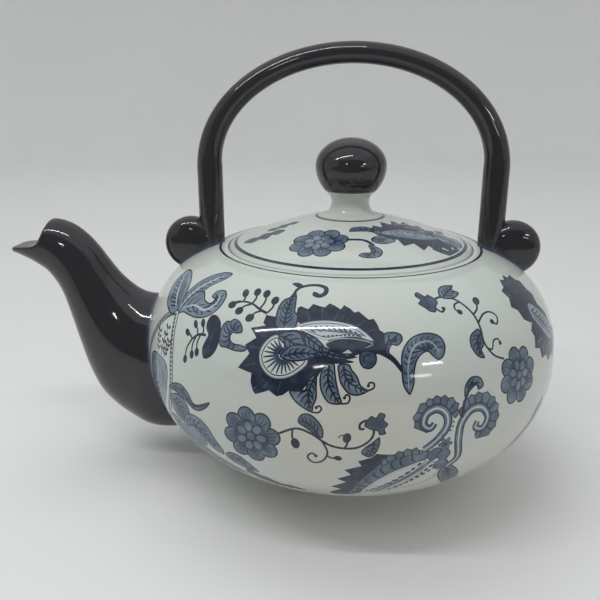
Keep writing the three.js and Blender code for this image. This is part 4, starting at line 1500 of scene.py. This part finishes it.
def make_handle(cutter):
    skin = Skin()
    rings = []
    for x, z, along_x, along_z, radius in handle_stations():
        length = math.hypot(along_x, along_z)
        outwards = Vector((-along_z / length, 0, along_x / length))
        centre = Vector((AXIS_X + x, 0, z))
        rings.append([
            skin.add_vertex(centre + outwards * radius * math.cos(turn) - Vector((0, radius * math.sin(turn),
                                                                                  0)))
            for turn in (2 * math.pi * k / HANDLE_SIDES for k in range(HANDLE_SIDES))
        ])
    skin.add_grid(rings)
    skin.add_face(rings[0][::-1])
    skin.add_face(rings[-1])
    handle = solid_object("handle_arch_skin", skin)
    cut(handle, [cutter])
    finish_dark(handle, "handle_arch")


SCROLL_RADIUS = 10.6 * MM
SCROLL_HALF_WIDTH = 6 * MM
SCROLL_POWER = 2.6
SCROLL_STEPS = 40


def make_scroll(node, cutter):
    """The rounded lobe that curls out at a strap's foot."""
    low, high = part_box(node)
    side = 1 if low.x > AXIS_X else -1
    centre = Vector((high.x - SCROLL_RADIUS if side > 0 else low.x + SCROLL_RADIUS, 0,
                     high.z - SCROLL_RADIUS))
    skin = Skin()
    rings = []
    for k in range(1, SCROLL_STEPS):
        turn = math.pi * (k / SCROLL_STEPS - 0.5)
        radius = SCROLL_RADIUS * math.cos(turn) ** (2 / SCROLL_POWER)
        y = math.copysign(SCROLL_HALF_WIDTH * abs(math.sin(turn)) ** (2 / SCROLL_POWER), turn)
        rings.append([
            skin.add_vertex(centre + Vector((radius * math.cos(angle), y, radius * math.sin(angle))))
            for angle in (2 * math.pi * i / 96 for i in range(96))
        ])
    skin.add_grid(rings)
    skin.add_face(rings[0][::-1])
    skin.add_face(rings[-1])
    scroll = solid_object(node + "_skin", skin)
    cut(scroll, [cutter])
    finish_dark(scroll, node)


# --------------------------------------------------------------------------------------------------
# The lid
# --------------------------------------------------------------------------------------------------

def dome_outline(drop):
    """From the stem's foot out to the painted line, lowered by drop."""
    steps = 60
    points = []
    for k in range(steps + 1):
        share = 1 - k / steps
        radius = LID_LINE_RADIUS + (DOME_TOP_RADIUS - LID_LINE_RADIUS) * share
        height = LID_LINE_HEIGHT + (DOME_HIGH.z - LID_LINE_HEIGHT) * share
        height += DOME_BULGE * 4 * share * (1 - share)
        points.append((radius, height - drop))
    return points


def steam_hole(outline):
    across, behind, size = STEAM_HOLE
    ring = []
    for k in range(HOLE_STEPS):
        turn = 2 * math.pi * k / HOLE_STEPS
        x = across + size * math.cos(turn)
        y = behind + size * math.sin(turn)
        ring.append((math.atan2(x, -y) % (2 * math.pi), outline.length_at_radius(math.hypot(x, y))))
    return [ring]


def make_lid_dome():
    skin = Skin()
    upper = Outline([point for point in dome_outline(0.0) if point[0] <= LID_LINE_RADIUS - 0.5 * MM])
    lower = Outline([point for point in dome_outline(LID_WALL) if point[0] < 40 * MM])
    lines = ((0.0, NECK_LINE), (upper.total - LID_LINE, upper.total))
    outer_holes = paint(skin, upper, lid_shapes(upper), 24, steam_hole(upper), bands=lines)
    inner_holes = paint(skin, lower, [], 12, steam_hole(lower), inside=True)
    bridge(skin, outer_holes[0], inner_holes[0])

    edge_radius = (DOME_HIGH.y - DOME_LOW.y) / 2
    underside = DOME_LOW.z
    edge = [
        (*upper.points[-1], NAVY),
        (LID_LINE_RADIUS + 0.35 * MM, LID_LINE_HEIGHT - 0.1 * MM, WHITE),
        (edge_radius - 0.2 * MM, underside + 1.5 * MM, WHITE),
        (edge_radius, underside + 0.6 * MM, WHITE),
        (edge_radius - 0.6 * MM, underside, WHITE),
        (lower.points[-1][0] + 0.5 * MM, underside, WHITE),
        (*lower.points[-1], WHITE),
    ]
    skin.add_turned(soften(edge, 0.5 * MM))
    skin.add_turned([(0, upper.points[0][1], WHITE), (*upper.points[0], WHITE)])
    skin.add_turned([(*lower.points[0], WHITE), (0, lower.points[0][1], WHITE)])
    skin.build("lid_dome_skin", "lid", "lid_dome", PAINTED)


def make_lid_flange():
    outer = (FLANGE_HIGH.y - FLANGE_LOW.y) / 2
    inner = outer - 3.4 * MM
    ring = [
        (inner, FLANGE_HIGH.z + 0.4 * MM, WHITE),
        (inner, FLANGE_LOW.z, WHITE),
        (outer, FLANGE_LOW.z, WHITE),
        (outer, FLANGE_HIGH.z + 0.4 * MM, WHITE),
    ]
    skin = Skin()
    skin.add_turned(soften(ring, 0.8 * MM)[::-1], closed=True)
    skin.build("lid_flange_skin", "lid", "lid_flange", BARE)


GLAZE_LINE = BALL_LOW.z  # where the dark glaze starts
KNOB_RADIUS = (BALL_HIGH.y - BALL_LOW.y) / 2
KNOB_HEIGHT = 124.1 * MM


def knob_radius_at(height):
    reach = KNOB_RADIUS if height < KNOB_HEIGHT else BALL_HIGH.z - KNOB_HEIGHT
    return KNOB_RADIUS * math.sqrt(max(1 - ((height - KNOB_HEIGHT) / reach) ** 2, 0.0))


def make_knob():
    foot = DOME_HIGH.z - 0.05 * MM
    flare = []
    for k in range(25):
        turn = math.pi / 2 * k / 24
        flare.append((
            DOME_TOP_RADIUS - (DOME_TOP_RADIUS - WAIST_RADIUS) * math.sin(turn),
            foot + (WAIST_HEIGHT - foot) * (1 - math.cos(turn)),
        ))
    line_radius = knob_radius_at(GLAZE_LINE)
    rise = catmull_rom([
        (WAIST_RADIUS, WAIST_HEIGHT),
        (WAIST_RADIUS + 0.55 * MM, (WAIST_HEIGHT + GLAZE_LINE) / 2),
        (line_radius, GLAZE_LINE),
    ], 10)
    neck = [(0, foot, WHITE), (flare[0][0] + 0.3 * MM, foot, NAVY),
            (flare[0][0] - 0.25 * MM, foot + 0.3 * MM, WHITE)]
    neck += [(r, z, WHITE) for r, z in flare[3:] + rise[1:]]
    neck += [(0, GLAZE_LINE, WHITE)]
    skin = Skin()
    skin.add_turned(neck[::-1])
    skin.build("lid_knob_neck_skin", "lid", "lid_knob_neck", PAINTED)

    ball = [(0, GLAZE_LINE, NAVY), (line_radius, GLAZE_LINE, MID)]
    lower_steps = 30
    for k in range(1, lower_steps + 1):
        height = GLAZE_LINE + (KNOB_HEIGHT - GLAZE_LINE) * k / lower_steps
        ball.append((knob_radius_at(height), height, NAVY))
    for k in range(1, 41):
        turn = math.pi / 2 * k / 40
        ball.append((KNOB_RADIUS * math.cos(turn), KNOB_HEIGHT + (BALL_HIGH.z - KNOB_HEIGHT) * math.sin(turn),
                     NAVY))
    ball[-1] = (0, BALL_HIGH.z, NAVY)
    skin = Skin()
    skin.add_turned(ball[::-1])
    skin.build("lid_knob_ball_skin", "lid", "lid_knob_ball", DARK)


# --------------------------------------------------------------------------------------------------
# Stage, lights and camera
# --------------------------------------------------------------------------------------------------

def studio_paper():
    nodes = Nodes("studio_paper")
    color = nodes.ramp(nodes.noise(3.0, 3.0), ((0.3, (0.845, 0.845, 0.84)), (0.7, (0.865, 0.865, 0.858))))
    nodes.feed(nodes.shader.inputs["Base Color"], color)
    nodes.feed(nodes.shader.inputs["Roughness"], nodes.spread(nodes.noise(40.0), 0.75, 0.9))
    nodes.bump(nodes.noise(800.0, 4.0), 0.1, 0.0003)
    return nodes.material


def make_stage():
    """A round paper sweep: a flat floor that curves up to a wall all round."""
    floor_radius = 1.3
    curve = 0.5
    wall_top = 1.6
    stations = [(0, 0, WHITE), (0.4, 0, WHITE), (floor_radius, 0, WHITE)]
    for k in range(1, 17):
        turn = math.pi / 2 * k / 16
        stations.append((floor_radius + curve * math.sin(turn), curve * (1 - math.cos(turn)), WHITE))
    stations.append((floor_radius + curve, wall_top, WHITE))
    skin = Skin()
    skin.add_turned(stations[::-1])
    stage = solid_object("paper_sweep", skin)
    stage.data.materials.append(studio_paper())
    stage.data.shade_smooth()
    stage.data.flip_normals()


def add_strip(name, start, end, width, energy, glossy=True):
    """A rectangular light between two ends, given in metres from the pot's axis; it faces the belly."""
    start, end = Vector(start), Vector(end)
    centre = (start + end) / 2
    along = (end - start).normalized()
    back = (centre - Vector((0, 0, BELLY_HEIGHT))).normalized()
    back = (back - along * back.dot(along)).normalized()
    data = bpy.data.lights.new(name, "AREA")
    data.shape = "RECTANGLE"
    data.size = (end - start).length
    data.size_y = width
    data.energy = energy
    light = bpy.data.objects.new(name, data)
    turn = Matrix((along, back.cross(along), back)).transposed()
    light.visible_glossy = glossy
    light.matrix_world = Matrix.Translation(centre + Vector((AXIS_X, 0, 0))) @ turn.to_4x4()
    bpy.context.scene.collection.objects.link(light)


def make_lights():
    world = bpy.data.worlds.new("studio")
    world.use_nodes = True
    background = world.node_tree.nodes["Background"]
    background.inputs["Color"].default_value = (0.96, 0.98, 1.0, 1.0)
    background.inputs["Strength"].default_value = 0.68
    bpy.context.scene.world = world
    add_strip("back_panel", (-0.7, 0.2, 1.2), (0.1, 0.3, 1.2), 0.6, 2.4, glossy=False)
    add_strip("tube", (-0.304, -0.183, 0.379), (0.03, -0.213, 0.499), 0.007, 0.5)
    add_strip("window_left", (-0.26, -0.87, 0.46), (-0.17, -0.87, 0.50), 0.02, 0.25)
    add_strip("window_right", (0.58, -0.69, 0.45), (0.70, -0.58, 0.42), 0.02, 0.5)
    add_strip("window_low", (0.49, -0.80, 0.30), (0.64, -0.70, 0.28), 0.04, 0.2)


def flag_felt():
    nodes = Nodes("flag_felt")
    nodes.feed(nodes.shader.inputs["Base Color"], nodes.ramp(nodes.noise(9.0), (
        (0.3, (0.05, 0.05, 0.05)),
        (0.7, (0.07, 0.07, 0.07)),
    )))
    nodes.feed(nodes.shader.inputs["Roughness"], nodes.spread(nodes.noise(30.0), 0.8, 0.95))
    nodes.bump(nodes.noise(600.0), 0.1, 0.0005)
    return nodes.material


def make_flag():
    """A folded card behind the camera: dark on the pot's side, white on the other, unseen by the camera."""
    half_width = 0.9
    fold = ((-0.45, 0.001), (-0.45, 0.15), (-0.95, 0.15), (-0.95, 1.0))  # (y, z) up one side of the card
    sides = (("flag", 0.0, flag_felt()), ("flag_back", 0.01, bpy.data.materials["studio_paper"]))
    for name, gap, material in sides:
        skin = Skin()
        rows = [[skin.add_vertex(Vector((AXIS_X + x, y - gap, z))) for x in (-half_width, half_width)]
                for y, z in fold]
        skin.add_grid(rows, closed_rows=False)
        flag = solid_object(name, skin)
        flag.data.materials.append(material)
        flag.visible_camera = False
        flag.visible_shadow = False


def make_camera():
    """The photograph's point of view, level across and tipped down by 17.5 degrees."""
    data = bpy.data.cameras.new("camera")
    data.sensor_width = 36.0
    data.lens = 40.2
    data.clip_start = 0.01
    camera = bpy.data.objects.new("camera", data)
    camera.location = (AXIS_X, -0.260, 0.1521)
    camera.rotation_euler = (math.radians(72.5), 0, math.radians(4.3))
    bpy.context.scene.collection.objects.link(camera)
    bpy.context.scene.camera = camera
    bpy.context.scene.view_settings.view_transform = "Standard"


make_pot()
make_foot_ring()
belly_tool = belly_cutter()
make_spout(belly_tool)
make_handle(belly_tool)
make_scroll("handle_scroll_spout_side", belly_tool)
make_scroll("handle_scroll_rear", belly_tool)
bpy.data.objects.remove(belly_tool)
make_lid_dome()
make_lid_flange()
make_knob()
make_stage()
make_lights()
make_flag()
make_camera()
